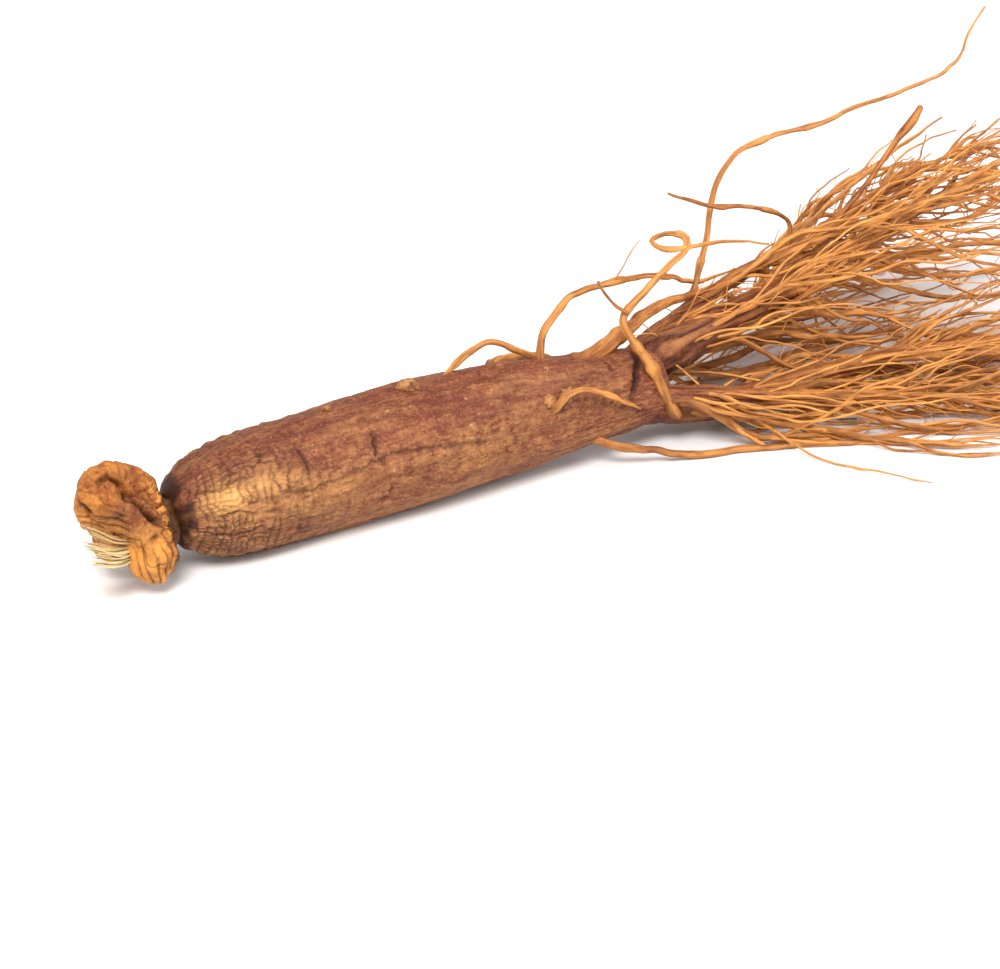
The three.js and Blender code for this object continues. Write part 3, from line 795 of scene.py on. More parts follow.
# Lobes that melt into one form, then creases carved into it
rhizome = {
    "facets": 127,
    "centre": (-42.6, -2.2, 9.2),
    "blend": 1.1,
    "ribDepth": 0.3,
    "foldDepth": 0.34,
    "fluteDepth": 0.36,
    "fluteWidth": 1.15,
    "blockRibDepth": 0.42,
    "rimDepth": 0.2,
    "neckGap": (-39.1, -38.2),    # x where the carved gap before the shoulder begins and is full; its blackness is painted shade
    "lobes": [
        {"at": (-38.6, -0.6, 8.8), "half": (3.6, 4.6, 4.6), "turn": (0, 0, 0), "tone": 0.5, "ruddyAndShade": 0},
        {"at": (-46, -0.6, 14.6), "half": (6.3, 3.5, 5.7), "turn": (0, 24, 10), "tone": 0.24, "ruddyAndShade": 0},
        {"at": (-43.4, -4.6, 10.4), "half": (5.4, 2.6, 3), "turn": (0, 42, 8), "tone": 0.28, "ruddyAndShade": 0.85},
        {"at": (-42.7, -5.7, 5.9), "half": (3.4, 3.5, 4.1), "turn": (0, -6, 0), "tone": 0.72, "ruddyAndShade": 0},
        {"at": (-41.6, 3.2, 8.2), "half": (3.9, 3.8, 5), "turn": (20, 0, 0), "tone": 0.5, "ruddyAndShade": 0.2},
        {"at": (-45.2, 1.8, 6.4), "half": (3.4, 3.2, 3.4), "turn": (0, 0, 0), "tone": 0.62, "ruddyAndShade": 0.1},
    ],
    # middle of a pale papery patch, its radius
    "flakes": [
        ((-40.6, -2.3, 15.4), 0.9), ((-39.6, -1.6, 14.9), 0.7), ((-39.6, -3.2, 13.8), 0.8),
        ((-40.6, -5.6, 12.6), 0.6), ((-39.9, -4.8, 12.6), 0.6), ((-39.9, -6.2, 11.2), 0.8),
        ((-40.2, -7.2, 9.8), 0.6),
    ],
    # points along the crease, half width, depth
    "creases": [
        ([(-45.4, -4, 16.8), (-44.4, -5, 15.4), (-43.2, -6, 13.9), (-42.5, -6.8, 12.5),
          (-41.4, -7, 11.4)], 0.55, 1.5),
        ([(-49, -3.1, 18.4), (-48.2, -3.1, 19), (-47.2, -3, 19.3), (-46.4, -3.5, 18.7),
          (-45.4, -4, 17)], 0.38, 0.8),
        ([(-52.1, -1.9, 16), (-51.3, -3.2, 15), (-50.7, -3.5, 13.6)], 0.45, 0.6),
        ([(-47.9, -4.7, 10.7), (-47.5, -5.1, 10)], 0.5, 1.1),
        ([(-46.9, -5.4, 15), (-46.4, -6, 13.2), (-46.6, -5.8, 11.4)], 0.3, 0.4),
        ([(-46.8, -5.9, 9.8), (-45, -7.1, 9), (-43.6, -7.8, 9.5), (-42, -8, 10.2)], 0.34, 0.5),
        ([(-41.4, -1, 16.2), (-40.8, -2.7, 15.1), (-40.4, -3.8, 13.8), (-40.4, -5.5, 12.4),
          (-39.6, -7, 10)], 0.4, 0.5),
        ([(-43.6, -2.4, 19), (-44.4, -3.4, 17.8)], 0.3, 0.35),
        ([(-47.5, 2.2, 17.5), (-45, 3.4, 15), (-42.5, 4.6, 13)], 0.45, 0.9),
        ([(-49.5, 1.5, 12), (-47, 3.6, 10.4), (-44.5, 5, 10)], 0.45, 0.9),
        ([(-44, 6.4, 9), (-42.5, 6.9, 6.5), (-42, 6, 3.6)], 0.35, 0.6),
    ],
}


def cubeSphere(facets):
    lines = np.tan(np.linspace(-math.pi / 4, math.pi / 4, facets + 1))
    u, v = np.meshgrid(lines, lines, indexing="ij")
    one = np.ones_like(u)
    sheets = [(one, u, v), (-one, v, u), (u, v, one), (v, u, -one), (v, one, u), (u, -one, v)]
    points, quads, start = [], [], 0
    for sheet in sheets:
        points.append(np.stack(sheet, -1).reshape(-1, 3))
        i, j = np.meshgrid(np.arange(facets), np.arange(facets), indexing="ij")
        first = (start + i * (facets + 1) + j).ravel()
        quads.append(np.stack([first, first + facets + 1, first + facets + 2, first + 1], 1))
        start += (facets + 1) ** 2
    points = np.concatenate(points)
    points /= np.linalg.norm(points, axis=1)[:, None]
    quads = np.concatenate(quads)
    # the six sheets share their edges
    rounded = np.round(points * 1e6).astype(np.int64)
    _, kept, back = np.unique(rounded, axis=0, return_index=True, return_inverse=True)
    return points[kept], back.reshape(-1)[quads]


def lobeGaps(points):
    gaps = []
    for lobe in rhizome["lobes"]:
        half = np.array(lobe["half"], float)
        turn = np.array(Euler([math.radians(v) for v in lobe["turn"]], "ZYX").to_matrix())
        local = (points - np.array(lobe["at"])) @ turn
        gaps.append((np.linalg.norm(local / half, axis=-1) - 1) * half.min())
    return gaps


def headDistance(points):
    return -rhizome["blend"] * np.log(sum(np.exp(-gap / rhizome["blend"]) for gap in lobeGaps(points)))


def makeRhizome():
    directions, quads = cubeSphere(rhizome["facets"])
    centre = np.array(rhizome["centre"])
    reach = np.full(len(directions), 18.0)
    for _ in range(70):
        reach -= 0.95 * np.maximum(headDistance(centre + directions * reach[:, None]), 0)
    surface = centre + directions * reach[:, None]
    step = 0.05
    slopes = [headDistance(surface + step * axis) - headDistance(surface - step * axis) for axis in np.eye(3)]
    normals = np.stack(slopes, -1)
    normals /= np.linalg.norm(normals, axis=1)[:, None]
    x, y, z = surface.T
    dx, dy, dz = directions.T

    shares = np.stack([np.exp(-gap / 0.7) for gap in lobeGaps(surface)])
    shares /= shares.sum(axis=0)
    tone = sum(share * lobe["tone"] for share, lobe in zip(shares, rhizome["lobes"]))
    ruddyAndShade = sum(share * lobe["ruddyAndShade"] for share, lobe in zip(shares, rhizome["lobes"]))
    ear, ridge, block = shares[1], shares[2], shares[3]

    # the same shallow ribs as the solid, then soft swellings, folds and fine wrinkles
    height = rhizome["ribDepth"] * np.sin(9 * np.arctan2(dy, dx) + 3 * dz) * (1 - dz * dz)
    swell = layered(0.3 * x, 0.3 * y, 0.3 * z, 51, 2)
    warp = noise(0.45 * x, 0.45 * y, 0.45 * z, 53)
    fold = ridged(9, 0.42 * x + 0.5 * warp, 0.42 * y, 0.42 * z, 55)
    wrinkle = ridged(5, 1.3 * x, 1.3 * y, 1.3 * z + 0.6 * warp, 57)
    fine = noise(3.1 * x, 3.1 * y, 3.1 * z, 59)
    skin = 0.34 * swell - rhizome["foldDepth"] * fold * (1 - 0.5 * ridge)
    height += skin - 0.09 * wrinkle * (1 - 0.5 * ear) + 0.035 * fine
    crease = (0.5 - 0.25 * ear) * fold + (0.22 - 0.14 * ear) * wrinkle - 0.2 * swell

    # flutes between the ridge and the fibres, and ribs that run down the lower block
    inFlutes = smoothstep(-x, 45.6, 47) * smoothstep(z, 8, 9.6)
    inFlutes = inFlutes * (1 - smoothstep(z, 13.6, 15.2)) * (1 - smoothstep(y, -1, 1.5))
    flutes = (1 - np.abs(np.sin(math.pi * (z + 0.3 * x + 0.35 * warp) / rhizome["fluteWidth"]))) ** 1.8
    around = np.arctan2(y + 5.7, x + 42.4)
    ribs = (1 - np.abs(np.sin(7.5 * around + 1.1 * warp + 0.18 * z))) ** 2.4
    inBlock = block * (1 - smoothstep(z, 7.6, 9.4))
    lumps = noise(0.9 * x, 0.9 * y, 0.7 * z, 61)
    carved = -rhizome["fluteDepth"] * flutes * inFlutes - rhizome["blockRibDepth"] * ribs * inBlock
    height += carved + 0.3 * lumps * inBlock
    crease += 0.45 * flutes * inFlutes + 0.62 * ribs * inBlock
    tone += 0.44 * inFlutes * (1 - 0.6 * flutes)

    # the curled rim of the ear
    rimLines = (1 - np.abs(np.sin(7 * np.arctan2(z - 15, x + 46) + 1.6 * warp))) ** 5
    onRim = ear * smoothstep(z, 14, 17.5)
    height -= rhizome["rimDepth"] * rimLines * onRim
    crease += 0.3 * rimLines * onRim

    wiggle = np.stack([0.3 * noise(0.9 * x, 0.9 * y, 0.9 * z, seed) for seed in (63, 65, 67)], -1)
    # carved creases, darkened partly as the skin's own crevices and partly with painted shade
    for line, wide, depth in rhizome["creases"]:
        away, ends = awayFrom(surface + wiggle, line)
        groove = np.exp(-((away / wide) ** 2)) * ends
        lip = np.exp(-(((away - 2.1 * wide) / (0.9 * wide)) ** 2)) * ends
        height += depth * (0.16 * lip - groove)
        crease = np.maximum(crease, 1.1 * groove * min(1, 0.55 + 0.5 * depth))

    for place, wide in rhizome["flakes"]:
        away = np.linalg.norm((surface - place) * (1, 1, 0.6) + 0.8 * wiggle, axis=1)
        flake = 1 - smoothstep(away + 0.5 * fine, 0.5 * wide, 0.9 * wide)
        height += 0.22 * flake
        tone += 0.7 * flake
        ruddyAndShade *= 1 - flake
        crease *= 1 - 0.8 * flake

    # the gap between the rhizome and the shoulder is carved deeper and painted almost black as shade
    gap = smoothstep(x + 0.35 * warp, *rhizome["neckGap"])
    height -= 1.2 * gap
    crease = np.clip(np.maximum(crease, 0.95 * smoothstep(x + 0.6 * warp, -40.6, -38.9)), 0, 1)
    crest = np.clip(0.35 + 0.5 * swell + 0.35 * fine + 0.3 * block - 0.9 * crease, 0, 1)
    points = surface + normals * height[:, None]
    points[:, 2] = np.maximum(points[:, 2], 0.03)
    tone = tone + 0.2 * layered(0.5 * x, 0.5 * y, 0.5 * z, 69, 2)
    ruddyAndShade = np.clip(ruddyAndShade + 0.3 * noise(0.5 * x + 9, 0.5 * y, 0.5 * z, 71), 0, 1)
    bundle = newBundle()
    addPart(bundle, points, quads, np.zeros((0, 3)), surface, crease, crest, tone, ruddyAndShade)
    return makePiece("rhizome", bundle, materials["rhizomeSkin"])


makeRhizome()


# Torn stem fibres

stemFibres = {
    "seed": 4242,
    "root": (-45.6, -5.2, 8.4),
    "tips": [
        (-53, -5.8, 13.6), (-52.6, -6.3, 12.7), (-53.1, -6.8, 11.2), (-53.3, -7.2, 10.8),
        (-52.4, -7.5, 9.6), (-53.2, -7.8, 8.7), (-52.8, -8, 8.3),
    ],
    "furthestX": -53.3,
    "splits": 7,
    "radius": 0.24,
    "sheet": 0.9,         # half width of the broad strand behind each bunch
}


def fibrous(shift):
    def relief(along, angle, radius):
        lines = noise(along / 3, 2.5 * np.cos(angle), 2.5 * np.sin(angle) + shift, 61)
        return 0.25 * radius * lines, np.clip(-lines, 0, 1), np.clip(lines, 0, 1)
    return relief


def makeFibres():
    bundle = newBundle()
    draw = seededRandom(stemFibres["seed"])
    for number, tip in enumerate(stemFibres["tips"]):
        foot = np.array(stemFibres["root"]) + (0, 0, 0.9 - 0.5 * number)
        for split in range(stemFibres["splits"]):
            broad = split == 0
            loose = np.array([draw() - 0.5, draw() - 0.5, draw() - 0.5])
            end = np.array(tip) + loose * ((0.3, 0.4, 0.4) if broad else (1.2, 1.2, 0.8))
            end = foot + (end - foot) * (0.9 if broad else 0.8 + 0.24 * draw())
            end[0] = max(end[0], stemFibres["furthestX"])
            middle = foot + (end - foot) * 0.5 + (0, -0.6, -0.5) + 0.5 * loose[::-1]
            points = [foot, middle, foot + (end - foot) * 0.8 + (0, -0.2, -0.25) + 0.4 * loose, end]
            path, at = evenPath(points, 26)
            share = np.linspace(0, 1, 27)
            thick = stemFibres["sheet"] if broad else stemFibres["radius"] * (0.8 + 0.5 * draw())
            radius = thick * (1 - 0.7 * share ** 1.3)
            tone = np.clip(0.05 + 0.11 * number + 0.45 * share + 0.3 * (draw() - 0.5), 0, 1)
            lines, flat = fibrous(number * 5 + split), 0.3 if broad else 0.7
            addTube(bundle, path, at, radius, 12, tone, lines, flat, 2.3 * number + split)
    return makePiece("stemFibres", bundle, materials["stemFibre"])


makeFibres()


# Tail roots

tails = [
    {"points": [(43, 0, 10.6), (50, 0.5, 12.6), (58, 1.2, 14.4), (69, 2.2, 16.2), (83, 3.4, 18.8),
                (100, 5.4, 22.6), (118, 8.5, 25.6), (137, 12.5, 27.2)],
     "radius": (4.4, 0.7), "rootlets": 13},
    {"points": [(43, -1.5, 8.2), (51, -3.2, 6), (60, -4.6, 4.8), (71, -6, 4.8), (84, -8, 6.2),
                (99, -11, 7.4), (116, -14.5, 6.6), (132, -17.5, 5.2)],
     "radius": (3.7, 0.6), "rootlets": 11},
    {"points": [(43, 2.5, 9.2), (52, 6.4, 8), (62, 10.6, 7.2), (75, 16.4, 7.6), (90, 23, 9.6),
                (106, 30, 12.4), (121, 37.5, 14.6)],
     "radius": (3.6, 0.6), "rootlets": 11},
    {"points": [(44, 1.4, 12), (52, 3, 15.4), (62.8, 5.6, 18.4), (74.4, 8, 20.8),
                (86.7, 9.6, 23), (97.6, 10.6, 25.4), (107, 11.4, 28), (118, 12, 31.4)],
     "radius": (1.9, 0.75), "rootlets": 8},
    {"points": [(44, -2.6, 9.4), (54, -7.6, 8.6), (65, -12, 7.4), (78, -17.6, 6), (93, -24, 4.4),
                (108, -31.5, 3.2)],
     "radius": (2.5, 0.6), "rootlets": 7},
]
tailTaper = 0.72

whisk = {
    "rootletSeed": 20240611,
    "strandSeed": 90210,
    "hairSeed": 5151,
    "fanFocus": (28, 0, 10),
    "rootletRise": 0.3,
    "floorGap": 0.25,
    "leastRadius": 0.32,
    "overTop": 2.4,       # how far fine strands may rise above the upper tail
    "fineStrands": 430,
    "strandLength": (18, 40),     # shortest, and what chance adds to it
    "hairs": 420,
    "hairLength": (5, 13),
    "bareRootlets": 9,    # of those placed one by one, these carry no hairs
    "tailShare": (9, 4),  # times a tail stands among the parents of strands and of hairs, a rootlet once
    # steps along a tube, sides round it
    "tailGrid": (230, 56),
    "loneGrid": (92, 11),
    "rootletGrid": (78, 11),
    "strandGrid": (36, 6),
    "hairGrid": (16, 4),
}


def woody(depth, shift):
    def relief(along, angle, radius):
        c, s = np.cos(angle), np.sin(angle)
        grown = np.minimum(radius, 2.5)
        wander = 0.5 * noise(along / 9, c, s + shift, 71)
        turned = angle + wander
        furrow = ridged(5, along / 16 + shift, 2.6 * np.cos(turned), 2.6 * np.sin(turned), 73)
        fine = ridged(5, along / 7 + shift, 5.5 * c, 5.5 * s, 75)
        swell = noise(along / 6 + shift, 0.7 * c, 0.7 * s, 77)
        pits = noise(along / 0.8, 5 * c, 5 * s + shift, 79)
        height = grown * (0.1 * swell - depth * furrow - 0.08 * fine) + 0.06 * pits
        crest = np.clip(0.4 + 0.4 * swell - 0.6 * furrow + 0.3 * pits, 0, 1)
        return height, np.clip(0.75 * furrow + 0.45 * fine, 0, 1), crest
    return relief


def makeTails():
    bundle = newBundle()
    steps, sides = whisk["tailGrid"]
    for number, tail in enumerate(tails):
        path, at = evenPath(tail["points"], steps)
        share = at / at[-1]
        radius = np.maximum(whisk["leastRadius"], taperedRadius(tail["radius"], tailTaper, share))
        tone = 0.26 + 0.36 * smoothstep(share, 0.1, 0.6) + 0.12 * noise(at / 7, number, 0.5, 81)
        ruddyAndShade = (1 - smoothstep(share, 0.16, 0.5)) * (0.95 if radius[0] > 2.6 else 0.5)
        ruddyAndShade = np.clip(ruddyAndShade + 0.15 * noise(at / 5, number, 0.5, 82), 0, 1)
        bark = woody(0.22, 3.1 * number)
        addTube(bundle, path, at, radius, sides, tone, bark, 1.0, 11.0 * number, True, ruddyAndShade)
    return makePiece("tailRoots", bundle, materials["tailSkin"])


makeTails()


# Rootlets

# Those placed one by one. The others grow from the tail roots by a rule.
usualRootlet = {"radius": (0.6, 0.35), "tone": 0.6}
loneRootlets = [
    {"points": [(51.3, -6.8, 5.5), (49, -6.8, 9.6), (46.6, -6.4, 15), (43.8, -5.6, 20.2),
                (43, -4, 23.4), (46.6, -2.6, 25.6), (52.3, -0.8, 28), (56.5, 0.4, 29.8),
                (58.9, 1.2, 31.2), (59.4, 1.9, 32.4), (58.2, 2.5, 33.4), (55, 2.7, 33.9),
                (52.6, 2, 33.5), (53.6, 1, 32.3), (56.6, 0.6, 31.4), (61, 1.2, 31),
                (67.6, 3, 29.9), (79.5, 6, 26.2)],
     "radius": (1.05, 0.32), "taper": 0.5, "flare": 0.2, "tone": 0.56},
    {"points": [(62.8, 5.6, 18.4), (66.4, 8, 24), (68.6, 9, 28.4), (70.2, 10, 32.8),
                (71.9, 10.4, 37.7), (76.5, 10.6, 42.1), (84.6, 11, 43.5), (93.8, 11.6, 43.5),
                (104.5, 12.6, 44.9), (118.5, 14.4, 45.9), (128.4, 16.4, 47), (132.5, 18, 49),
                (134.7, 19, 51.8), (139.4, 20, 56)],
     "radius": (0.58, 0.32), "taper": 0.8, "tone": 0.46},
    {"points": [(29, 0.6, 15), (29.6, 0.7, 19), (30.5, 1, 22.4), (33, 1.6, 24.7), (36, 2.2, 26.8),
                (40.4, 3, 27.5), (46.3, 4.2, 27.1), (52.5, 5.4, 26.2), (58.9, 6.4, 24.7),
                (66.6, 8, 21.7), (75.8, 10.4, 21.5)],
     "radius": (0.78, 0.34), "taper": 0.7, "tone": 0.46},
    {"points": [(29.4, 0.8, 15.6), (28.9, 0.8, 18.8), (24.2, 1, 21.5), (20.4, 1.2, 23.1),
                (16.4, 1.4, 21.7), (12.9, 1.2, 19.9), (10.2, 0.8, 18.2)],
     "radius": (0.6, 0.42), "tone": 0.3},
    {"points": [(86.7, 9.6, 23), (87.4, 10, 26.4), (86.2, 10, 28.6), (82.2, 9.6, 30.7),
                (75.8, 9, 32.7), (69.3, 8.2, 34.5), (64.2, 7.4, 36.8), (59.6, 7.2, 39)],
     "radius": (0.4, 0.36), "tone": 0.1},
    {"points": [(26.4, -6, 12), (27, -8, 13.4), (28.8, -8.6, 15.3), (31.7, -8.6, 15.6),
                (36, -8.4, 13.6), (40.5, -8, 10.8), (44.1, -6.6, 8.6)],
     "radius": (0.5, 0.32), "tone": 0.5},
    {"points": [(22, 6, 13), (26, 9.6, 15.4), (34, 13, 14.2), (44, 18, 9), (54, 24, 3.8),
                (63, 30, 0.9), (72, 36, 0.2), (82, 41, 0.3)],
     "radius": (0.8, 0.35), "tone": 0.5},
    {"points": [(34, -4, 5.6), (40, -8.6, 3.2), (50, -12.6, 1.2), (62, -17, 0.4), (74, -23, 0.2),
                (86, -30, 0.3)],
     "radius": (0.8, 0.35), "tone": 0.5},
    {"points": [(97.6, 10.6, 25.4), (104.6, 11, 30.4), (109, 11, 34.6), (111.5, 10.8, 37.5),
                (113, 10.4, 39.5), (114.6, 10.2, 41.2), (116, 10, 43.4)],
     "radius": (0.5, 0.46), "bulb": 0.9, "tone": 0.14},
    {"points": [(99, -11, 7.4), (112, -14, 10.5), (126, -17, 14), (140, -20, 16), (151, -22, 15)]},
    {"points": [(100, 5.4, 22.6), (114, 5, 27), (128, 5, 31), (142, 6, 34), (152, 8, 35)]},
    {"points": [(90, 4.2, 20.4), (104, 4, 14), (118, 3, 9), (132, 2, 7), (144, 1, 7)]},
    {"points": [(86.7, 9.6, 23), (100, 17, 25.4), (114, 23, 27.6), (127, 28, 30), (139, 30, 33)]},
    {"points": [(90, 23, 9.6), (104, 31, 14), (115, 36, 18.6), (124, 39, 21.4), (133, 41, 22.6)]},
    {"points": [(75, 16.4, 7.6), (92, 19, 11), (110, 21, 16), (128, 22, 19), (144, 23, 19)]},
    {"points": [(93, -24, 4.4), (106, -28, 8), (120, -30, 13), (132, -30, 16)],
     "radius": (0.55, 0.35), "tone": 0.6},
    {"points": [(75, 16.4, 7.6), (88, 14, 4), (100, 11, 2.6), (112, 10, 2.4), (122, 10, 3)]},
    {"points": [(36, 0, 15.4), (39.5, 0, 16.9), (43, 0.4, 18.2), (46, 1, 19.2), (49, 2, 20), (53, 3.2, 20.7),
                (57.5, 4.2, 20.9), (63, 5.6, 20.6), (70, 7.6, 20.6)],
     "radius": (1.9, 0.6), "taper": 0.6, "tone": 0.22},
    {"points": [(74.4, 8, 20.8), (88, 3, 26), (102, -2, 30), (118, -5, 33), (134, -7, 36)]},
]


# Steps from a place, each turned by pull towards the way out from the focus of the fan and bent by
# chance. The first step is shorter, none goes lower than clear, and a droop over 0.5 bends them down.
def fanOut(place, heading, strides, first, clear, pull, bend, droop, draw):
    focus = np.array(whisk["fanFocus"], float)
    line = []
    for number, stride in enumerate(strides):
        place = place + heading * stride * (1 if number else first)
        place[2] = max(place[2], clear)
        line.append(place.copy())
        spread = place - focus
        spread /= np.linalg.norm(spread)
        heading = heading + (spread - heading) * pull
        heading = heading + (bend[0] * (draw() - 0.5), bend[1] * (draw() - 0.5), bend[2] * (draw() - droop))
        heading /= np.linalg.norm(heading)
    return line


def rootletsOf(tail, draw):
    points = [np.array(p, float) for p in tail["points"]]
    made = []
    for i in range(tail["rootlets"]):
        share = 0.14 + (0.8 * (i + draw())) / tail["rootlets"]
        foot = curvePoint(points, share)
        ahead = curveAhead(points, share)
        around = 2.4 * (i + 1) + 1.2 * draw()
        lift = math.sin(around)
        outward = np.array([0, math.cos(around), whisk["rootletRise"] * lift if lift > 0 else lift])
        heading = ahead + outward * (0.45 + 0.5 * draw())
        heading /= np.linalg.norm(heading)
        thick = min(0.5 * taperedRadius(tail["radius"], tailTaper, share), 0.5 + 0.55 * draw())
        stride = (7 + 6.5 * draw()) * (1.25 - 0.5 * share)
        clear = thick + whisk["floorGap"] + 0.4
        line = fanOut(foot, heading, [stride] * 5, 0.6, clear, 0.42, (0.5, 0.75, 0.7), 0.56, draw)
        made.append({
            "points": [curvePoint(points, share - 0.03)] + line, "radius": (thick, whisk["leastRadius"]),
            "foot": taperedRadius(tail["radius"], tailTaper, share)})
    return made


def knotted(shift):
    def relief(along, angle, radius):
        c, s = np.cos(angle), np.sin(angle)
        swell = noise(along / 1.6 + shift, 0.6 * c, 0.6 * s, 83)
        knots = smoothstep(noise(along / 2.6 + shift, 0.2, 0.7, 85), 0.42, 0.75)
        furrow = ridged(4, along / 9 + shift, 1.9 * c, 1.9 * s, 87)
        height = radius * (0.16 * swell + 0.38 * knots - 0.16 * furrow)
        crest = np.clip(0.3 + 0.5 * swell + 0.3 * knots, 0, 1)
        return height, np.clip(0.7 * furrow - 0.3 * swell, 0, 1), crest
    return relief


def wobbled(path, at, amount, shift, share):
    _, side, up = sideFrames(path)
    grow = smoothstep(share, 0.03, 0.3)
    first = noise(at / 5.5, shift, 0.5, 91) + 0.4 * noise(at / 2.2, shift, 0.5, 93)
    second = noise(at / 5.5, shift, 0.5, 95) + 0.4 * noise(at / 2.2, shift, 0.5, 97)
    return path + side * (amount * grow * first)[:, None] + up * (amount * grow * second)[:, None]


rootletPaths = []


def makeRootlets():
    draw = seededRandom(whisk["rootletSeed"])
    bundle = newBundle()
    grown = [rootlet for tail in tails for rootlet in rootletsOf(tail, draw)]
    placed = [{**usualRootlet, **rootlet} for rootlet in loneRootlets]
    for number, rootlet in enumerate(placed + grown):
        steps, sides = whisk["loneGrid" if number < len(loneRootlets) else "rootletGrid"]
        path, at = evenPath(rootlet["points"], steps)
        share = at / at[-1]
        taper, bulb = rootlet.get("taper", 1), rootlet.get("bulb", 0)
        flare, foot = rootlet.get("flare", 0.5), rootlet.get("foot", 0.6)
        radius = np.maximum(whisk["leastRadius"], taperedRadius(rootlet["radius"], taper, share))
        thinTip = 0.45 * smoothstep(share, 0.8, 1) * (bulb == 0)
        radius = radius * (1 + bulb * np.exp(-(((share - 0.86) / 0.12) ** 2)) - thinTip)
        radius = radius * (1 + flare * np.exp(-((np.maximum(at - foot, 0) / 1.4) ** 2)))
        path = wobbled(path, at, 0.4, 3.7 * number, share)
        path[:, 2] = np.maximum(path[:, 2], radius + 0.1)
        tone = rootlet.get("tone", 0.36 + 0.42 * draw())
        tone = tone + 0.12 * noise(at / 6, number, 0.5, 99) + 0.12 * share
        # painted shade: rootlets low down in the heap are darkened through the ruddy tint
        shaded = 0.35 * (1 - smoothstep(path[:, 2], 3, 14)) * (number > 5)
        ruddyAndShade = np.clip(0.7 * np.exp(-at / 7) + shaded, 0, 1)
        relief = knotted(2.9 * number)
        addTube(bundle, path, at, radius, sides, tone, relief, 1.0, 5.0 * number, True, ruddyAndShade)
        rootletPaths.append(path)
    return makePiece("rootlets", bundle, materials["rootletSkin"])


makeRootlets()

topTail = np.array(tails[3]["points"] + [(158, 12, 42)], float)
lowest = np.array(cadBox[0]) / mm
highest = np.array(cadBox[1]) / mm
tailPaths = [evenPath(tail["points"], 120)[0] for tail in tails]


# A thin strand that leaves a parent and fans out. It ends where it would leave the root's box or
# rise too far above the upper tail, and nothing comes back when fewer than four points are left.
def strandFrom(parent, share, draw, length, steps, curl):
    index = int(share * (len(parent) - 2))
    place = parent[index].copy()
    heading = parent[index + 1] - parent[index]
    heading /= np.linalg.norm(heading)
    outward = np.array([draw() - 0.5, draw() - 0.5, draw() - 0.5]) * 2
    outward[1:] = np.minimum(outward[1:], (0.5, 0.3))
    heading = heading + outward * (0.3 + 0.45 * draw())
    heading /= np.linalg.norm(heading)
    strides = [length / steps] * steps
    line = np.array([place] + fanOut(place, heading, strides, 1, 0.5, 0.25, (curl,) * 3, 0.54, draw))
    inside = (line > lowest + 0.4).all(axis=1) & (line < highest - 0.4).all(axis=1)
    ceiling = np.interp(line[:, 0], topTail[:, 0], topTail[:, 2]) + whisk["overTop"]
    inside &= line[:, 2] + 0.39 * (line[:, 1] - 10) < ceiling
    inside[:2] = True
    count = int(np.argmin(inside)) if not inside.all() else len(line)
    return line[:count] if count >= 4 else None


def makeFineStrands():
    draw = seededRandom(whisk["strandSeed"])
    bundle = newBundle()
    steps, sides = whisk["strandGrid"]
    parents = [path for path in tailPaths for _ in range(whisk["tailShare"][0])]
    parents += rootletPaths[len(loneRootlets):]
    least, spread = whisk["strandLength"]
    for number in range(whisk["fineStrands"]):
        parent = parents[int(draw() * len(parents))]
        line = strandFrom(parent, 0.1 + 0.85 * draw(), draw, least + spread * draw(), 6, 0.55)
        thick = 0.2 + 0.22 * draw()
        tone = 0.4 + 0.5 * draw()
        if line is None:
            continue
        path, at = evenPath(line, steps)
        share = at / at[-1]
        path = wobbled(path, at, 0.45, 2.3 * number, share)
        radius = thick * (1 - 0.6 * share)
        path[:, 2] = np.maximum(path[:, 2], radius + 0.1)
        tone = tone + 0.1 * noise(at / 5, number, 0.5, 101)
        addTube(bundle, path, at, radius, sides, tone, knotted(1.7 * number), 1.0, 3.0 * number)
    return makePiece("fineRootlets", bundle, materials["rootletSkin"])


# A twig on the loop and a hair on the arch: points, radius, tone
looseHairs = [
    ([(43.5, -4.6, 24.6), (41.7, -3.6, 26), (41, -2, 27.4), (41.3, 0.4, 28.3), (42.4, 2.6, 28.2)], 0.3, 0.1),
    ([(46.3, 3.6, 27.6), (47.5, 2.8, 29.9), (48.3, 2.8, 31.1), (49.4, 2.8, 32.4), (50.8, 2.8, 33.7)],
     0.13, 0.5),
]


def makeHairs():
    draw = seededRandom(whisk["hairSeed"])
    bundle = newBundle()
    for number, (points, thick, tone) in enumerate(looseHairs):
        path, at = evenPath(points, 30)
        addTube(bundle, path, at, thick * (1 - 0.3 * at / at[-1]), 8, tone, knotted(4.1 * number))
    steps, sides = whisk["hairGrid"]
    parents = rootletPaths[whisk["bareRootlets"]:]
    parents += [path for path in tailPaths for _ in range(whisk["tailShare"][1])]
    least, spread = whisk["hairLength"]
    for number in range(whisk["hairs"]):
        parent = parents[int(draw() * len(parents))]
        line = strandFrom(parent, 0.15 + 0.83 * draw(), draw, least + spread * draw(), 5, 1.2)
        tone = 0.35 + 0.6 * draw()
        thick = 0.09 + 0.08 * draw()
        if line is None:
            continue
        path, at = evenPath(line, steps)
        share = at / at[-1]
        addTube(bundle, path, at, thick * (1 - 0.5 * share), sides, tone, None, 1.0, 1.9 * number)
    return makePiece("rootHairs", bundle, materials["rootletSkin"])


makeFineStrands()
makeHairs()
print("pieces ready")


# Floor, light and camera

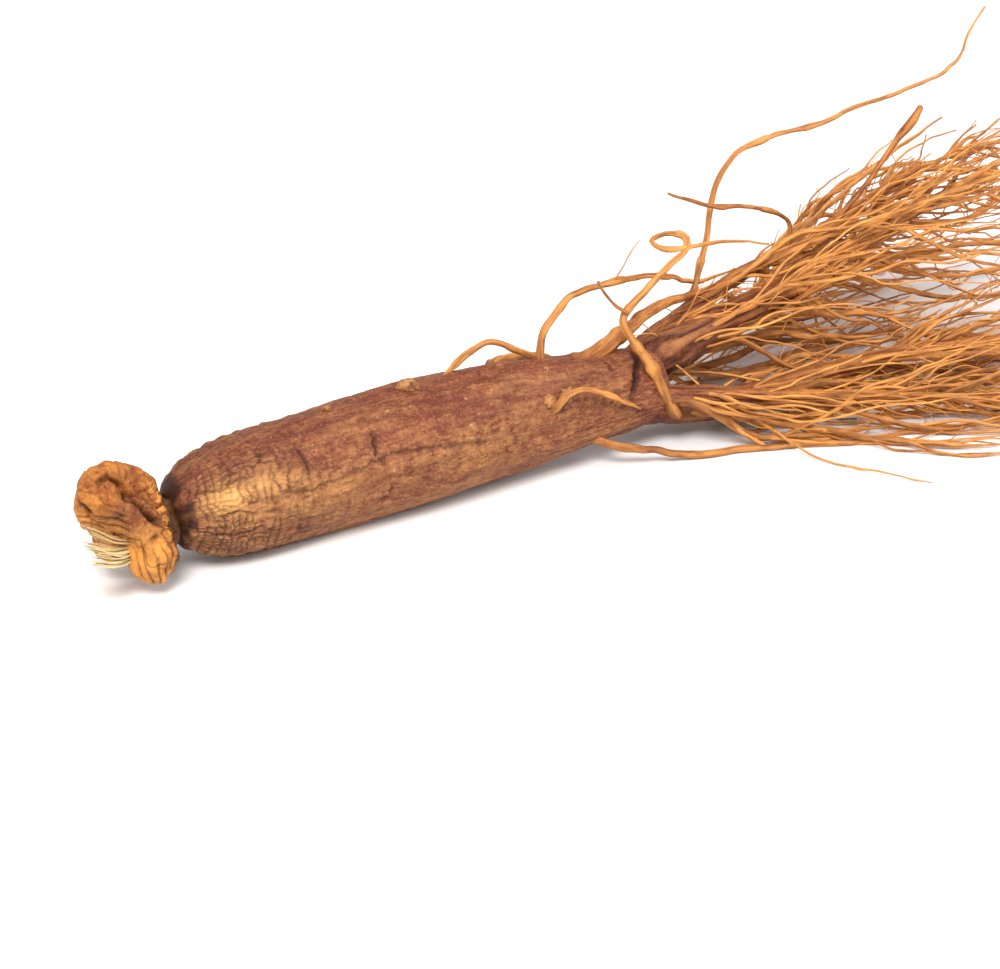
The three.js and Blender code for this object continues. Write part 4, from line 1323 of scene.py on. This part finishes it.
# Places in metres. Each light: name, place, aim, size, power, colour
stage = {
    "floorHalf": 2.5,
    "floorColour": (0.86, 0.86, 0.86, 1),
    "skyStrength": 0.75,
    "lights": [
        ("softKey", (-0.35, -0.45, 0.75), (0.02, 0, 0.01), 0.45, 9.0, (1.0, 0.98, 0.95)),
        ("softFill", (0.6, -0.5, 0.45), (0.05, 0, 0.01), 0.6, 3.0, (1.0, 1.0, 1.0)),
    ],
    "cameraPlace": (-0.15663, -0.30434, 0.15765),
    "cameraAim": (0.014474, -0.01064, 0.004187),
    "cameraRoll": -2.369,     # degrees
    "lens": 85,
}


def makeFloor():
    half = stage["floorHalf"]
    mesh = bpy.data.meshes.new("floor")
    corners = [(-half, -half, 0), (half, -half, 0), (half, half, 0), (-half, half, 0)]
    mesh.from_pydata(corners, [], [(0, 1, 2, 3)])
    material = bpy.data.materials.new("paleFloor")
    material.use_nodes = True
    shader = material.node_tree.nodes["Principled BSDF"]
    shader.inputs["Base Color"].default_value = stage["floorColour"]
    shader.inputs["Roughness"].default_value = 0.9
    mesh.materials.append(material)
    linked("floor", mesh)


def addLight(name, place, aim, size, power, colour):
    data = bpy.data.lights.new(name, "AREA")
    data.shape = "DISK"
    data.size = size
    data.energy = power
    data.color = colour
    light = linked(name, data)
    light.location = place
    light.rotation_euler = (Vector(aim) - Vector(place)).to_track_quat("-Z", "Y").to_euler()


def makeLightAndCamera():
    world = bpy.data.worlds.new("studio")
    world.use_nodes = True
    sky = world.node_tree.nodes["Background"].inputs
    sky["Color"].default_value = (1, 1, 1, 1)
    sky["Strength"].default_value = stage["skyStrength"]
    bpy.context.scene.world = world
    for light in stage["lights"]:
        addLight(*light)

    camera = linked("camera", bpy.data.cameras.new("camera"))
    camera.data.lens = stage["lens"]
    camera.data.sensor_width = 36
    camera.data.sensor_fit = "HORIZONTAL"
    camera.data.clip_start = 0.01
    camera.data.clip_end = 20
    camera.location = stage["cameraPlace"]
    aim = (Vector(stage["cameraAim"]) - camera.location).to_track_quat("-Z", "Y")
    roll = Quaternion((0, 0, 1), math.radians(stage["cameraRoll"]))
    camera.rotation_euler = (aim @ roll).to_euler()
    bpy.context.scene.camera = camera


makeFloor()
makeLightAndCamera()
print("floor, light and camera ready")

print("scene ready")
